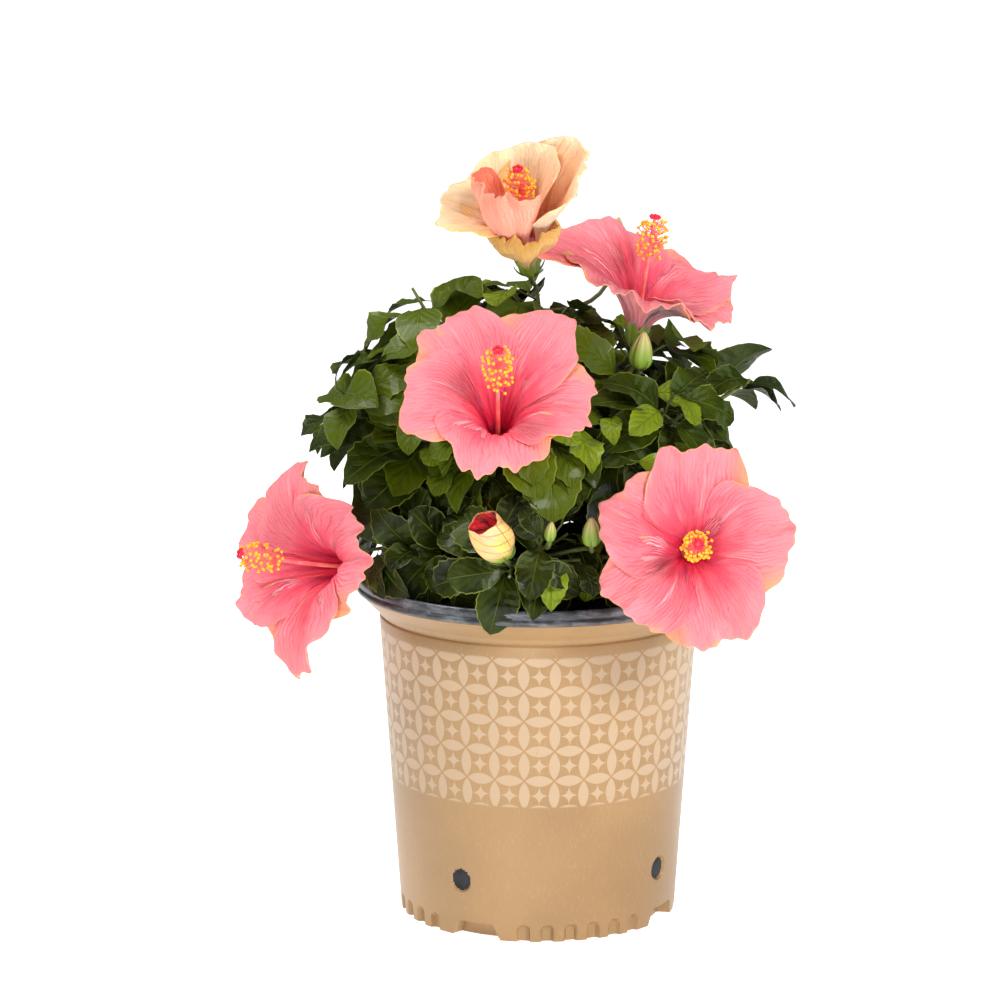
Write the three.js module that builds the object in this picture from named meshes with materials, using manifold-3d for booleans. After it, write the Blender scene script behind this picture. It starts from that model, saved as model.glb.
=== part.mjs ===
// A hibiscus shrub in bloom, standing in its round plastic pot.
// Sizes are in millimetres and Z is up. The origin is the middle of the pot's flat underside, and the shrub's
// face looks along -Y. A bearing is an angle in degrees round Z, from -Y towards +X.
import * as THREE from "three";
import { mergeVertices } from "three/addons/utils/BufferGeometryUtils.js";
import Module from "manifold-3d";

const wasm = await Module();
wasm.setup();

// Clear space between neighbouring pieces, and the distance within which corners are one corner
const GAP = 0.3;
const WELD = 1e-4;
const ROUNDINGS = [1e-4, 1e-3];

// Tan outer pot: a straight taper from foot to shoulder, then a flared collar
const POT = {
  footRadius: 93,
  shoulderRadius: 107,
  shoulderHeight: 204,
  brimRadius: 121,
  height: 220.5,
  wall: 2,
  floor: 4,
  footWall: 4,
  footRing: 18,
  grooveDepth: 0.8,
  segments: 36,
};
const HOLES = { count: 4, first: -33, radius: 8.5, height: 39, sides: 12, depth: 20 };
const NOTCHES = { count: 4, first: -27, topWidth: 24, footWidth: 34, height: 10, depth: 9 };

// Black inner pot: it hangs in the outer one by its rolled lip
const LINER = { wall: 1.8, lipRadius: 122.8, lipHeight: 10.2, lipWidth: 4.4 };

const SOIL = { level: 206, fall: 3.5, flatRadius: 20 };

// Short woody stem: taper, lean and root flare
const TRUNK = { height: 44, lean: [-3, 4], topRadius: 5.6, footRadius: 6.6, flare: 5.2, sides: 8, rings: 5 };
const BOUGH = { sides: 5, rings: 2, rootRadius: 3, tipRadius: 2.1, entry: 0.42 };

// Leafy masses: the ball that each one reaches, round a heart low in the crown
const HEART = [0, 0, 246];
const MASSES = [
  { name: "front_low", bearing: -10, out: 84, up: 254, reach: 60 },
  { name: "right_front_low", bearing: 50, out: 88, up: 256, reach: 60 },
  { name: "back_right_low", bearing: 112, out: 88, up: 258, reach: 62 },
  { name: "back_low", bearing: 172, out: 86, up: 258, reach: 62 },
  { name: "back_left_low", bearing: -128, out: 88, up: 256, reach: 62 },
  { name: "left_front_low", bearing: -68, out: 88, up: 254, reach: 60 },
  { name: "front_middle", bearing: -12, out: 66, up: 322, reach: 62 },
  { name: "left_middle", bearing: -82, out: 96, up: 326, reach: 66 },
  { name: "right_middle", bearing: 62, out: 84, up: 326, reach: 64 },
  { name: "back_right_middle", bearing: 140, out: 84, up: 328, reach: 66 },
  { name: "back_left_middle", bearing: -150, out: 82, up: 326, reach: 66 },
  { name: "left_top", bearing: -88, out: 60, up: 378, reach: 60 },
  { name: "right_top", bearing: 72, out: 66, up: 366, reach: 64 },
  { name: "top", bearing: 180, out: 10, up: 388, reach: 60 },
  { name: "right_shoot", bearing: 88, out: 126, up: 350, reach: 50 },
];

// Boughs: what each one springs from, how far along it, and the mass that it enters
const BOUGHS = [
  { mass: "front_low", parent: "trunk", at: 0.42 },
  { mass: "back_right_low", parent: "trunk", at: 0.42 },
  { mass: "back_left_low", parent: "trunk", at: 0.42 },
  { mass: "right_front_low", parent: "trunk", at: 0.72 },
  { mass: "back_low", parent: "trunk", at: 0.72 },
  { mass: "left_front_low", parent: "trunk", at: 0.72 },
  { mass: "top", parent: "trunk", at: 1 },
  { mass: "front_middle", parent: "top", at: 0.3 },
  { mass: "back_right_middle", parent: "top", at: 0.3 },
  { mass: "back_left_middle", parent: "top", at: 0.45 },
  { mass: "left_middle", parent: "top", at: 0.22 },
  { mass: "right_middle", parent: "top", at: 0.2 },
  { mass: "left_top", parent: "top", at: 0.7 },
  { mass: "right_top", parent: "top", at: 0.7 },
  { mass: "right_shoot", parent: "right_middle", at: 0.5 },
];

// Growth rule of a mass: side twigs round a leader, and leaves in a spiral along each twig
const GOLDEN_TURN = 137.5;
const LEADER = { beyond: 0.35, radius: 1.9, tipRadius: 1.3, sides: 3, rings: 2 };
const TWIG = { count: 5, radius: 1.5, tipRadius: 1, shortest: 0.5, longest: 0.75, widest: 92, narrowest: 12 };
const LEAF = { perTwig: 9, length: 58, width: 0.76, thickness: 1.3, widestAt: 0.46, fold: 0.16, bow: 0.09 };

// A bloom's parts, measured along its axis from the throat
const BLOOM = { tube: 26, tubeRadius: 4.4, petals: 5, facets: 20, rows: 4, thickness: 1.4, ruffle: 4.5 };
const COLUMN = { length: 50, radius: 2, tipRadius: 1.5, sides: 4, rings: 2, headRadius: 7, headLength: 13 };
const CALYX = { below: 7, above: 8, radius: 7.2, sides: 6 };
const STALK = { radius: 1.6, sides: 4, rings: 2, straight: 12 };

// Blooms: throat, bearing and slope of the axis, and turn of the first petal. Each of the five petals has a
// reach, as a share of the radius, and a rise, its height above the throat in millimetres.
const BLOOMS = [
  {
    name: "bloom_front", host: "front_middle", foot: [-20, -74, 322], throat: [-27, -122, 358],
    bearing: 0, slope: 43, turn: 90, radius: 65, curl: 6, columnRise: 14,
    reach: [1, 1.02, 0.98, 1, 1.02], rise: [12, 6, 4, 8, 8],
  },
  {
    name: "bloom_right", host: "right_front_low", foot: [86, -78, 262], throat: [97, -128, 272],
    bearing: 3, slope: 14, turn: 100, radius: 66, curl: 6, columnRise: 8,
    reach: [1, 1, 1, 1.02, 1], rise: [10, 8, 6, 8, 8],
  },
  {
    name: "bloom_left", host: "left_front_low", foot: [-102, -20, 244], throat: [-143, -38, 243],
    bearing: -65, slope: 8, turn: 90, radius: 64, curl: 8, columnRise: 8,
    reach: [1.05, 0.95, 1.05, 1, 0.95], rise: [6, 10, 4, 2, 12],
  },
  {
    name: "bloom_upper_right", host: "right_top", foot: [56, 6, 370], throat: [68, -10, 417],
    bearing: 50, slope: 62, turn: 80, radius: 64, curl: 10, columnRise: 6,
    reach: [1, 1, 1, 1, 1], rise: [4, 2, 4, 2, 4],
  },
  {
    name: "bloom_top", host: "top", foot: [-3, 14, 424], throat: [-9, -15, 459],
    bearing: -10, slope: 40, turn: 55, radius: 60, curl: 4, columnRise: 8,
    reach: [1.1, 1, 0.85, 0.9, 1], rise: [46, 34, 26, 22, 40],
  },
];

// Buds: foot of the stalk, root of the bulb, its direction, length and widest radius
const BUDS = [
  {
    name: "bud_open", host: "front_low", foot: [-20, -116, 262], root: [-23, -128, 268],
    lean: [-0.4, -0.5, 0.8], length: 36, radius: 13,
  },
  {
    name: "bud_side", host: "right_top", foot: [60, -34, 366], root: [66, -42, 376],
    lean: [0.1, -0.15, 1], length: 26, radius: 8.5,
  },
  {
    name: "bud_upper", host: "top", foot: [46, 48, 418], root: [53, 56, 437],
    lean: [0.05, 0.1, 1], length: 26, radius: 6.5,
  },
  {
    name: "bud_right", host: "front_low", foot: [34, -104, 268], root: [33, -118, 274],
    lean: [0, -0.35, 1], length: 21, radius: 6.8,
  },
  {
    name: "bud_small", host: "front_low", foot: [4, -114, 272], root: [6, -128, 279],
    lean: [0.1, -0.4, 1], length: 15, radius: 4,
  },
];

// Air that twigs and leaves keep: round the pot's lip, over the soil, behind petals and round buds and bars
const KEEP = { lip: 1.5, overLip: 1.2, overSoil: 4, petals: 6, rim: 1.12, bud: 2, budEnds: 3, bar: 1.2 };

// Vectors and numbers

const vector = (xyz) => new THREE.Vector3(...xyz);
const stepped = (point, direction, length) => point.clone().addScaledVector(direction, length);
const blend = (a, b, t) => a + (b - a) * t;
const radians = (degrees) => THREE.MathUtils.degToRad(degrees);

function heading(bearing, slope = 0) {
  const level = Math.cos(radians(slope));
  return new THREE.Vector3(
    Math.sin(radians(bearing)) * level,
    -Math.cos(radians(bearing)) * level,
    Math.sin(radians(slope)),
  );
}

// Two directions square to a given one, the first of them level where it can be
function squareTo(direction) {
  const up = Math.abs(direction.z) > 0.99 ? new THREE.Vector3(0, 1, 0) : new THREE.Vector3(0, 0, 1);
  const side = new THREE.Vector3().crossVectors(up, direction).normalize();
  return [side, new THREE.Vector3().crossVectors(direction, side)];
}

// A repeatable run of numbers between 0 and 1
function dice(seed) {
  let state = seed;
  const roll = () => {
    state = (state * 16807) % 2147483647;
    return state / 2147483647;
  };
  for (let i = 0; i < 4; i++) roll();
  return roll;
}

// Solids

function solidOf(geometry) {
  const bare = geometry.index ? geometry.toNonIndexed() : geometry.clone();
  bare.deleteAttribute("normal");
  bare.deleteAttribute("uv");
  const merged = mergeVertices(bare, WELD);
  return new wasm.Manifold(
    new wasm.Mesh({
      numProp: 3,
      vertProperties: merged.attributes.position.array,
      triVerts: new Uint32Array(merged.index.array),
    }),
  );
}

function geometryOf(solid) {
  const mesh = solid.getMesh();
  const geometry = new THREE.BufferGeometry();
  geometry.setAttribute("position", new THREE.BufferAttribute(mesh.vertProperties, 3));
  geometry.setIndex(new THREE.BufferAttribute(mesh.triVerts, 1));
  geometry.computeVertexNormals();
  return geometry;
}

// Whether no two corners of a solid fall on one point when they are rounded
function cornersApart(solid) {
  const { vertProperties: values } = solid.getMesh();
  return ROUNDINGS.every((step) => {
    const spots = new Set();
    for (let i = 0; i < values.length; i += 3) {
      spots.add([values[i], values[i + 1], values[i + 2]].map((value) => Math.round(value / step)).join());
    }
    return spots.size === values.length / 3;
  });
}

// Joins pieces one by one, and leaves out any whose seam has corners too close to tell apart
function grownWith(pieces, solid) {
  return pieces.reduce((sum, piece) => {
    const next = sum.add(piece);
    return cornersApart(next) ? next : sum;
  }, solid);
}

const joined = (solids) => solids.reduce((sum, solid) => sum.add(solid));

// Largest body of a solid, without scraps that hang loose
const mainBody = (solid) => solid.decompose().reduce((a, b) => (b.volume() > a.volume() ? b : a));

// Moves each corner of a geometry to where the rule sends it
function bent(geometry, rule) {
  const corners = geometry.attributes.position;
  const corner = new THREE.Vector3();
  for (let i = 0; i < corners.count; i++) {
    const moved = rule(corner.fromBufferAttribute(corners, i));
    corners.setXYZ(i, moved.x, moved.y, moved.z);
  }
  return geometry;
}

// Turned piece: a closed profile of [radius, height] spun round Z
function turned(profile, segments) {
  const points = profile.map(([radius, height]) => new THREE.Vector2(radius, height));
  return new THREE.LatheGeometry(points, segments).rotateX(Math.PI / 2);
}

// Stands a piece made along Z on a root, along a direction
function planted(geometry, root, direction) {
  const [side, up] = squareTo(direction);
  const place = new THREE.Matrix4().makeBasis(side, up, direction).setPosition(root);
  return geometry.applyMatrix4(place);
}

// Limb: a round bar along a curve, with a radius for each share of its length
function limb(curve, radiusAt, sides, rings) {
  const chord = curve.getPoint(1).sub(curve.getPoint(0)).normalize();
  const across = squareTo(chord)[0];
  return bent(new THREE.CylinderGeometry(1, 1, 1, sides, rings), (corner) => {
    const t = corner.y + 0.5;
    const tangent = curve.getTangent(t);
    const third = new THREE.Vector3().crossVectors(across, tangent).normalize();
    const first = new THREE.Vector3().crossVectors(tangent, third);
    return curve
      .getPoint(t)
      .addScaledVector(first, corner.x * radiusAt(t))
      .addScaledVector(third, corner.z * radiusAt(t));
  });
}

const arc = (from, middle, to) => new THREE.QuadraticBezierCurve3(from, middle, to);
const taper = (from, to) => (t) => blend(from, to, t);

// Pot

const wallRadius = (height) =>
  blend(POT.footRadius, POT.shoulderRadius, height / POT.shoulderHeight);

// Inner face of the tan pot from its floor to its brim, moved inwards by a margin
function potInside(margin) {
  const foot = POT.footWall + margin;
  const wall = POT.wall + margin;
  const collar = margin * 0.7;
  return [
    [wallRadius(POT.floor) - foot, POT.floor + margin],
    [wallRadius(POT.footRing) - foot, POT.footRing],
    [wallRadius(POT.footRing + 6) - wall, POT.footRing + 6],
    [POT.shoulderRadius - wall, POT.shoulderHeight],
    [POT.brimRadius - POT.wall - collar, POT.height - POT.wall * 0.4 + collar],
  ];
}

function potShell() {
  const inside = potInside(0);
  const brim = inside.pop();
  const shoulder = POT.shoulderHeight;
  const groove = POT.shoulderRadius - POT.grooveDepth;
  return turned(
    [
      [0, 0],
      [POT.footRadius, 0],
      [POT.shoulderRadius, shoulder],
      [groove, shoulder + 1],
      [POT.shoulderRadius + 0.8, shoulder + 2.2],
      [POT.brimRadius, POT.height],
      [brim[0], POT.height],
      ...inside.reverse(),
      [0, POT.floor],
    ],
    POT.segments,
  );
}

// Bar along Y from the origin, whose outline in X and Z is given, turned to a bearing at a distance
function radialBar(outline, length, bearing, distance) {
  const shape = new THREE.Shape(outline.map(([x, z]) => new THREE.Vector2(x, z)));
  return new THREE.ExtrudeGeometry(shape, { depth: length, bevelEnabled: false })
    .rotateX(Math.PI / 2)
    .translate(0, -distance, 0)
    .rotateZ(radians(bearing));
}

function circleOutline(radius, sides, height) {
  return Array.from({ length: sides }, (_, i) => {
    const angle = (2 * Math.PI * i) / sides;
    return [radius * Math.cos(angle), height + radius * Math.sin(angle)];
  });
}

function drainHoles() {
  return Array.from({ length: HOLES.count }, (_, i) => {
    const bearing = HOLES.first + (360 / HOLES.count) * i;
    const outline = circleOutline(HOLES.radius, HOLES.sides, HOLES.height);
    return radialBar(outline, HOLES.depth, bearing, POT.footRadius - HOLES.depth / 2);
  });
}

function footNotches() {
  const half = NOTCHES.footWidth / 2;
  const top = NOTCHES.topWidth / 2;
  const outline = [[-half, -1], [half, -1], [top, NOTCHES.height], [-top, NOTCHES.height]];
  return Array.from({ length: NOTCHES.count }, (_, i) => {
    const bearing = NOTCHES.first + (360 / NOTCHES.count) * i;
    return radialBar(outline, NOTCHES.depth + 5, bearing, POT.footRadius - NOTCHES.depth);
  });
}

function outerPot() {
  const cuts = [...drainHoles(), ...footNotches()].map(solidOf);
  return geometryOf(cuts.reduce((pot, cut) => pot.subtract(cut), solidOf(potShell())));
}

// Inner face of the black pot: one straight taper, clear of the outer pot's thicker foot
const linerInside = (height) =>
  blend(wallRadius(0) - POT.footWall, POT.shoulderRadius - POT.wall, height / POT.shoulderHeight) -
  GAP -
  LINER.wall;

// Inner pot: it follows the outer one's inside and rolls over its brim
function innerPot() {
  const outside = potInside(GAP);
  const floor = POT.floor + GAP + LINER.wall;
  const seat = POT.height + GAP;
  const crest = seat + LINER.lipHeight;
  const lip = LINER.lipRadius;
  outside.pop();
  return turned(
    [
      [0, POT.floor + GAP],
      ...outside,
      [POT.brimRadius - POT.wall - GAP * 3, seat],
      [lip - 0.6, seat],
      [lip, seat + 2],
      [lip - 1, crest - 1.6],
      [lip - LINER.lipWidth * 0.6, crest],
      [lip - LINER.lipWidth, crest - 1],
      [linerInside(POT.shoulderHeight), POT.shoulderHeight],
      [linerInside(floor), floor],
      [0, floor],
    ],
    POT.segments,
  );
}

function soilFill() {
  const floor = POT.floor + LINER.wall + 2 * GAP;
  const rim = SOIL.level - SOIL.fall;
  return turned(
    [
      [0, floor],
      [linerInside(floor) - GAP, floor],
      [linerInside(rim) - GAP, rim],
      [SOIL.flatRadius, SOIL.level],
      [0, SOIL.level],
    ],
    POT.segments,
  );
}

// Masses and limbs

const heart = vector(HEART);
const masses = MASSES.map((row, i) => {
  const centre = heading(row.bearing).multiplyScalar(row.out).setZ(row.up);
  return { ...row, centre, outward: centre.clone().sub(heart).normalize(), seed: 1201 + 97 * i };
});
const massNamed = (name) => masses.find((mass) => mass.name === name);

function trunkCurve() {
  const foot = new THREE.Vector3(0, 0, SOIL.level + GAP);
  const top = new THREE.Vector3(...TRUNK.lean, foot.z + TRUNK.height);
  return arc(foot, new THREE.Vector3(0, 0, foot.z + TRUNK.height * 0.5), top);
}

function trunkRadius(t) {
  return blend(TRUNK.footRadius, TRUNK.topRadius, t) + TRUNK.flare * (1 - t) ** 6;
}

// All limbs by name, each with its curve, its radius along it and its facets
const limbs = new Map([
  ["trunk", { curve: trunkCurve(), radiusAt: trunkRadius, sides: TRUNK.sides, rings: TRUNK.rings }],
]);

// Bough: it leaves its parent outwards, arcs up and points into its mass
function boughCurve(row, parent, mass) {
  const leader = row.at === 1;
  const start = parent.curve.getPoint(row.at);
  if (leader) start.addScaledVector(parent.curve.getTangent(1), GAP);
  const goal = leader
    ? new THREE.Vector3(mass.centre.x, mass.centre.y, mass.centre.z - mass.reach * BOUGH.entry)
    : stepped(mass.centre, start.clone().sub(mass.centre).normalize(), mass.reach * BOUGH.entry);
  const middle = start.clone().lerp(goal, 0.5);
  if (leader) {
    middle.copy(stepped(start, parent.curve.getTangent(1), TRUNK.height));
  } else {
    const level = Math.hypot(goal.x - start.x, goal.y - start.y);
    const outwards = goal.clone().sub(start).setZ(0).normalize();
    middle.addScaledVector(outwards, level * 0.08).setZ(middle.z - level * 0.06);
  }
  return arc(start, middle, goal);
}

function boughRadius(row, parent) {
  if (row.at === 1) return taper(parent.radiusAt(1) - 0.3, BOUGH.tipRadius + 0.4);
  const root = Math.min(BOUGH.rootRadius, parent.radiusAt(row.at) - 0.5);
  return taper(root, Math.min(BOUGH.tipRadius, root - 0.4));
}

for (const row of BOUGHS) {
  const parent = limbs.get(row.parent);
  limbs.set(row.mass, {
    curve: boughCurve(row, parent, massNamed(row.mass)),
    radiusAt: boughRadius(row, parent),
    sides: BOUGH.sides,
    rings: BOUGH.rings,
    parent: row.at === 1 ? null : parent,
  });
}

const barOf = (piece, margin = 0) =>
  limb(piece.curve, (t) => piece.radiusAt(t) + margin, piece.sides, piece.rings);

// Limb's solid, with its root cut to its parent's bark
function limbSolid(piece) {
  const bar = solidOf(barOf(piece));
  return piece.parent ? mainBody(bar.subtract(solidOf(barOf(piece.parent, GAP + 0.05)))) : bar;
}

// Flowers

// How far a petal has opened at a share v of its length: outwards, and along the bloom's axis
const OPENING = 0.25;
const spreadAt = (v) => OPENING * v + (1 - OPENING) * v * v;
const climbAt = (v) => 1 - (1 - v) ** 2;

// Share of a petal's length at which it has opened outwards by a given share
const lengthAt = (spread) =>
  (Math.sqrt(OPENING ** 2 + 4 * (1 - OPENING) * spread) - OPENING) / (2 * (1 - OPENING));

function bloomFrame(bloom) {
  const axis = heading(bloom.bearing, bloom.slope);
  const right = heading(bloom.bearing + 90);
  return { throat: vector(bloom.throat), axis, right, up: new THREE.Vector3().crossVectors(axis, right) };
}

// Point of the corolla: the angle runs round it in petals, from 0 to 5, and v from its foot to its edge
function corollaPoint(bloom, frame, angle, v) {
  const k = Math.floor(angle) % BLOOM.petals;
  const u = 2 * (angle - Math.floor(angle)) - 1;
  const next = (k + (u < 0 ? BLOOM.petals - 1 : 1)) % BLOOM.petals;
  const share = 0.5 * Math.abs(u) ** 3;
  const rise = blend(bloom.rise[k], bloom.rise[next], share);
  const reach = blend(bloom.reach[k], bloom.reach[next], share) * (1 - 0.17 * Math.abs(u) ** 5);
  const radius = BLOOM.tubeRadius + (bloom.radius * reach - BLOOM.tubeRadius) * spreadAt(v);
  const turn = radians(bloom.turn + (360 / BLOOM.petals) * (angle - 0.5));
  const wave = BLOOM.ruffle * v ** 3 * Math.sin(2 * Math.PI * (1.6 * angle + 0.3 * k) + bloom.radius);
  const height =
    -BLOOM.tube + (BLOOM.tube + rise) * climbAt(v) + wave - bloom.curl * v ** 6 * (0.4 + 0.6 * u * u);
  return frame.throat
    .clone()
    .addScaledVector(frame.right, radius * Math.cos(turn))
    .addScaledVector(frame.up, radius * Math.sin(turn))
    .addScaledVector(frame.axis, height);
}

// Corolla: one thin sheet of five lobes, made from a closed ring profile whose two sides meet at its edge
function corollaSolid(bloom, frame) {
  const small = 0.01;
  const rows = Array.from({ length: BLOOM.rows - 1 }, (_, i) => 1 + (i + 1) / BLOOM.rows);
  const under = rows.map((radius) => [radius, -0.5]);
  const over = rows.map((radius) => [radius, 0.5]).reverse();
  const profile = [[1, 0], ...under, [2, 0], ...over, [1, 0]];
  return solidOf(
    bent(turned(profile, BLOOM.facets), (corner) => {
      const v = Math.hypot(corner.x, corner.y) - 1;
      const turn = Math.atan2(corner.y, corner.x) / (2 * Math.PI) + 1;
      const angle = (BLOOM.petals * turn) % BLOOM.petals;
      const here = corollaPoint(bloom, frame, angle, v);
      const round = corollaPoint(bloom, frame, angle + small, v).sub(here);
      const along = corollaPoint(bloom, frame, angle, v + small).sub(here);
      return here.addScaledVector(round.cross(along).normalize(), -corner.z * BLOOM.thickness);
    }),
  );
}

// Staminal column: it leaves along the axis and bends up towards its head
function columnCurve(bloom, frame) {
  const root = stepped(frame.throat, frame.axis, -BLOOM.tube);
  const middle = stepped(frame.throat, frame.axis, COLUMN.length * 0.3);
  const tip = stepped(frame.throat, frame.axis, COLUMN.length);
  return arc(root, middle, tip.setZ(tip.z + bloom.columnRise));
}

// Head of anthers round the column's end, and the stigma beyond it
function columnHead(curve) {
  const direction = curve.getTangent(1);
  const tip = curve.getPoint(1);
  const anthers = new THREE.SphereGeometry(1, 6, 3)
    .rotateX(Math.PI / 2)
    .scale(COLUMN.headRadius, COLUMN.headRadius, COLUMN.headLength);
  const stigma = new THREE.SphereGeometry(3.6, 5, 3).rotateX(Math.PI / 2);
  return [
    planted(anthers, stepped(tip, direction, -COLUMN.headLength * 0.9), direction),
    planted(stigma, stepped(tip, direction, 2), direction),
  ].map(solidOf);
}

function calyxSolid(frame) {
  const profile = [
    [0, -CALYX.below],
    [CALYX.radius * 0.55, -CALYX.below * 0.8],
    [CALYX.radius, 0],
    [CALYX.radius * 0.9, CALYX.above],
    [0, CALYX.above],
  ];
  const root = stepped(frame.throat, frame.axis, -BLOOM.tube);
  return solidOf(planted(turned(profile, CALYX.sides), root, frame.axis));
}

// Stalk from its foot to where a flower sits, which it reaches along the flower's own axis
function stalkCurve(foot, seat, axis) {
  const middle = stepped(seat, axis, -Math.min(STALK.straight, foot.distanceTo(seat) * 0.45));
  return arc(foot, middle, seat);
}

const stalkSolid = (curve) =>
  solidOf(limb(curve, taper(STALK.radius, STALK.radius), STALK.sides, STALK.rings));

function bloomFlower(bloom) {
  const frame = bloomFrame(bloom);
  const seat = stepped(frame.throat, frame.axis, 1 - BLOOM.tube - CALYX.below);
  const stalk = stalkCurve(vector(bloom.foot), seat, frame.axis);
  const column = columnCurve(bloom, frame);
  const bar = limb(column, taper(COLUMN.radius, COLUMN.tipRadius), COLUMN.sides, COLUMN.rings);
  const solid = joined([
    calyxSolid(frame), corollaSolid(bloom, frame), solidOf(bar), ...columnHead(column), stalkSolid(stalk),
  ]);
  return { name: bloom.name, host: bloom.host, solid: mainBody(solid), stalk, bloom, frame };
}

// Bud: an egg-shaped bulb with a blunt tip on a short stalk
function budFlower(bud) {
  const axis = vector(bud.lean).normalize();
  const root = vector(bud.root);
  const stalk = stalkCurve(vector(bud.foot), stepped(root, axis, 1), axis);
  const profile = [[0, 0], [0.7, 0.08], [1, 0.42], [0.8, 0.7], [0.35, 0.94], [0, 1]];
  const bulb = turned(
    profile.map(([radius, height]) => [radius * bud.radius, height * bud.length]),
    6,
  );
  const solid = joined([solidOf(planted(bulb, root, axis)), stalkSolid(stalk)]);
  return { name: bud.name, host: bud.host, solid: mainBody(solid), stalk, bud, axis };
}

const flowers = [...BLOOMS.map(bloomFlower), ...BUDS.map(budFlower)];

// Space of a mass

// Distance by which a point lies on a mass's own side of the plane shared with another mass
function ownSide(point, mass, other) {
  const mine = point.distanceToSquared(mass.centre) - mass.reach ** 2;
  const theirs = point.distanceToSquared(other.centre) - other.reach ** 2;
  return (theirs - mine) / (2 * mass.centre.distanceTo(other.centre));
}

function insideMass(point, mass) {
  if (point.distanceTo(mass.centre) > mass.reach) return false;
  return masses.every((other) => other === mass || ownSide(point, mass, other) > GAP);
}

function clearOfPot(point) {
  const radius = Math.hypot(point.x, point.y);
  const crest = POT.height + GAP + LINER.lipHeight;
  if (radius > LINER.lipRadius + KEEP.lip) return true;
  const overSoil = radius < POT.shoulderRadius;
  return point.z > (overSoil ? SOIL.level + KEEP.overSoil : crest + KEEP.overLip);
}

// Bowl of a bloom: leaves stay behind its petals and out of the air in front of them
function clearOfBloom(point, { bloom, frame }) {
  const from = point.clone().sub(frame.throat);
  const height = from.dot(frame.axis);
  const radius = Math.sqrt(Math.max(0, from.lengthSq() - height * height));
  const share = Math.max(0, radius - BLOOM.tubeRadius) / bloom.radius;
  if (share > KEEP.rim) return true;
  const v = lengthAt(Math.min(share, 1));
  const lowest = Math.min(...bloom.rise);
  const back = -BLOOM.tube + (BLOOM.tube + lowest) * climbAt(v) - bloom.curl * v ** 6 - KEEP.petals;
  return height < back - (radius < CALYX.radius + KEEP.bud ? CALYX.below : 0);
}

function clearOfBud(point, { bud, axis }) {
  const middle = stepped(vector(bud.root), axis, bud.length / 2);
  const along = point.clone().sub(middle).dot(axis);
  const aside = point.distanceTo(stepped(middle, axis, along));
  return Math.hypot(aside / (bud.radius + KEEP.bud), along / (bud.length / 2 + KEEP.budEnds)) > 1;
}

// Points along limbs and stalks, each with the distance to keep from it
function beadsOf(curve, radiusAt, count) {
  return Array.from({ length: count }, (_, i) => {
    const t = i / (count - 1);
    return { point: curve.getPoint(t), radius: radiusAt(t) + KEEP.bar };
  });
}

const BEADS = { limb: 36, stalk: 24 };
const beads = [
  ...[...limbs.values()].flatMap((piece) => beadsOf(piece.curve, (t) => piece.radiusAt(t), BEADS.limb)),
  ...flowers.flatMap((flower) => beadsOf(flower.stalk, () => STALK.radius, BEADS.stalk)),
];

function spotIsFree(point, mass) {
  return (
    insideMass(point, mass) &&
    clearOfPot(point) &&
    flowers.every((flower) => (flower.bloom ? clearOfBloom(point, flower) : clearOfBud(point, flower)))
  );
}

// Growth rule

// Leaf's frame: it leaves its twig at a turn, lies over towards the light and droops a little
function leafFrame(mass, twig, t, turn, tilt) {
  const direction = twig.getTangent(t);
  const [side, other] = squareTo(direction);
  const away = side.multiplyScalar(Math.cos(turn)).addScaledVector(other, Math.sin(turn));
  const angle = radians(blend(72, 38, t));
  const root = twig.getPoint(t);
  const light = root.clone().sub(mass.centre).normalize().multiplyScalar(0.5);
  light.addScaledVector(mass.outward, 0.6).addScaledVector(vector(tilt), 0.9);
  light.setZ(light.z + 0.35).normalize();
  const along = direction.multiplyScalar(Math.cos(angle)).addScaledVector(away, Math.sin(angle));
  along.addScaledVector(light, -0.7 * along.dot(light));
  along.z -= 0.22;
  along.normalize();
  const up = light.addScaledVector(along, -light.dot(along)).normalize();
  return { root, along, up, side: new THREE.Vector3().crossVectors(up, along) };
}

// Place on a leaf: s runs from its root to its tip, and e from its left edge, -1, to its right edge, 1
function leafPoint(leaf, s, e) {
  const width = s < LEAF.widestAt ? s / LEAF.widestAt : (1 - s) / (1 - LEAF.widestAt);
  const half = (leaf.length * LEAF.width * width) / 2;
  const lift = Math.abs(e) * half * LEAF.fold + leaf.length * LEAF.bow * 4 * s * (1 - s);
  return stepped(leaf.root, leaf.along, leaf.length * s)
    .addScaledVector(leaf.side, e * half)
    .addScaledVector(leaf.up, lift);
}

const LEAF_TESTS = [0.2, 0.32, 0.44, 0.6, 0.78, 0.9, 1].flatMap((s) =>
  [-1, -0.5, 0, 0.5, 1].map((e) => [s, e]),
);

// Leaf as four flat faces round its raised middle, and the eight lines between its corners
function leafPlates(leaf) {
  const corners = [[0, 0], [LEAF.widestAt, 1], [1, 0], [LEAF.widestAt, -1]];
  const ring = corners.map(([s, e]) => leafPoint(leaf, s, e));
  const middle = leafPoint(leaf, LEAF.widestAt, 0);
  const after = (i) => ring[(i + 1) % 4];
  return {
    faces: ring.map((corner, i) => [corner, after(i), middle]),
    lines: ring.flatMap((corner, i) => [[corner, after(i)], [corner, middle]]),
  };
}

// Whether the line between two points passes through a three-cornered face
function pierces([from, to], [a, b, c]) {
  const ray = new THREE.Ray(from, to.clone().sub(from).normalize());
  const hit = ray.intersectTriangle(a, b, c, false, new THREE.Vector3());
  return hit !== null && hit.distanceTo(from) < from.distanceTo(to);
}

// A bar's curve as a chain of lines
const linesOf = (curve, count) =>
  Array.from({ length: count }, (_, i) => [curve.getPoint(i / count), curve.getPoint((i + 1) / count)]);

const crosses = (one, other) => one.lines.some((line) => other.faces.some((face) => pierces(line, face)));

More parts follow.
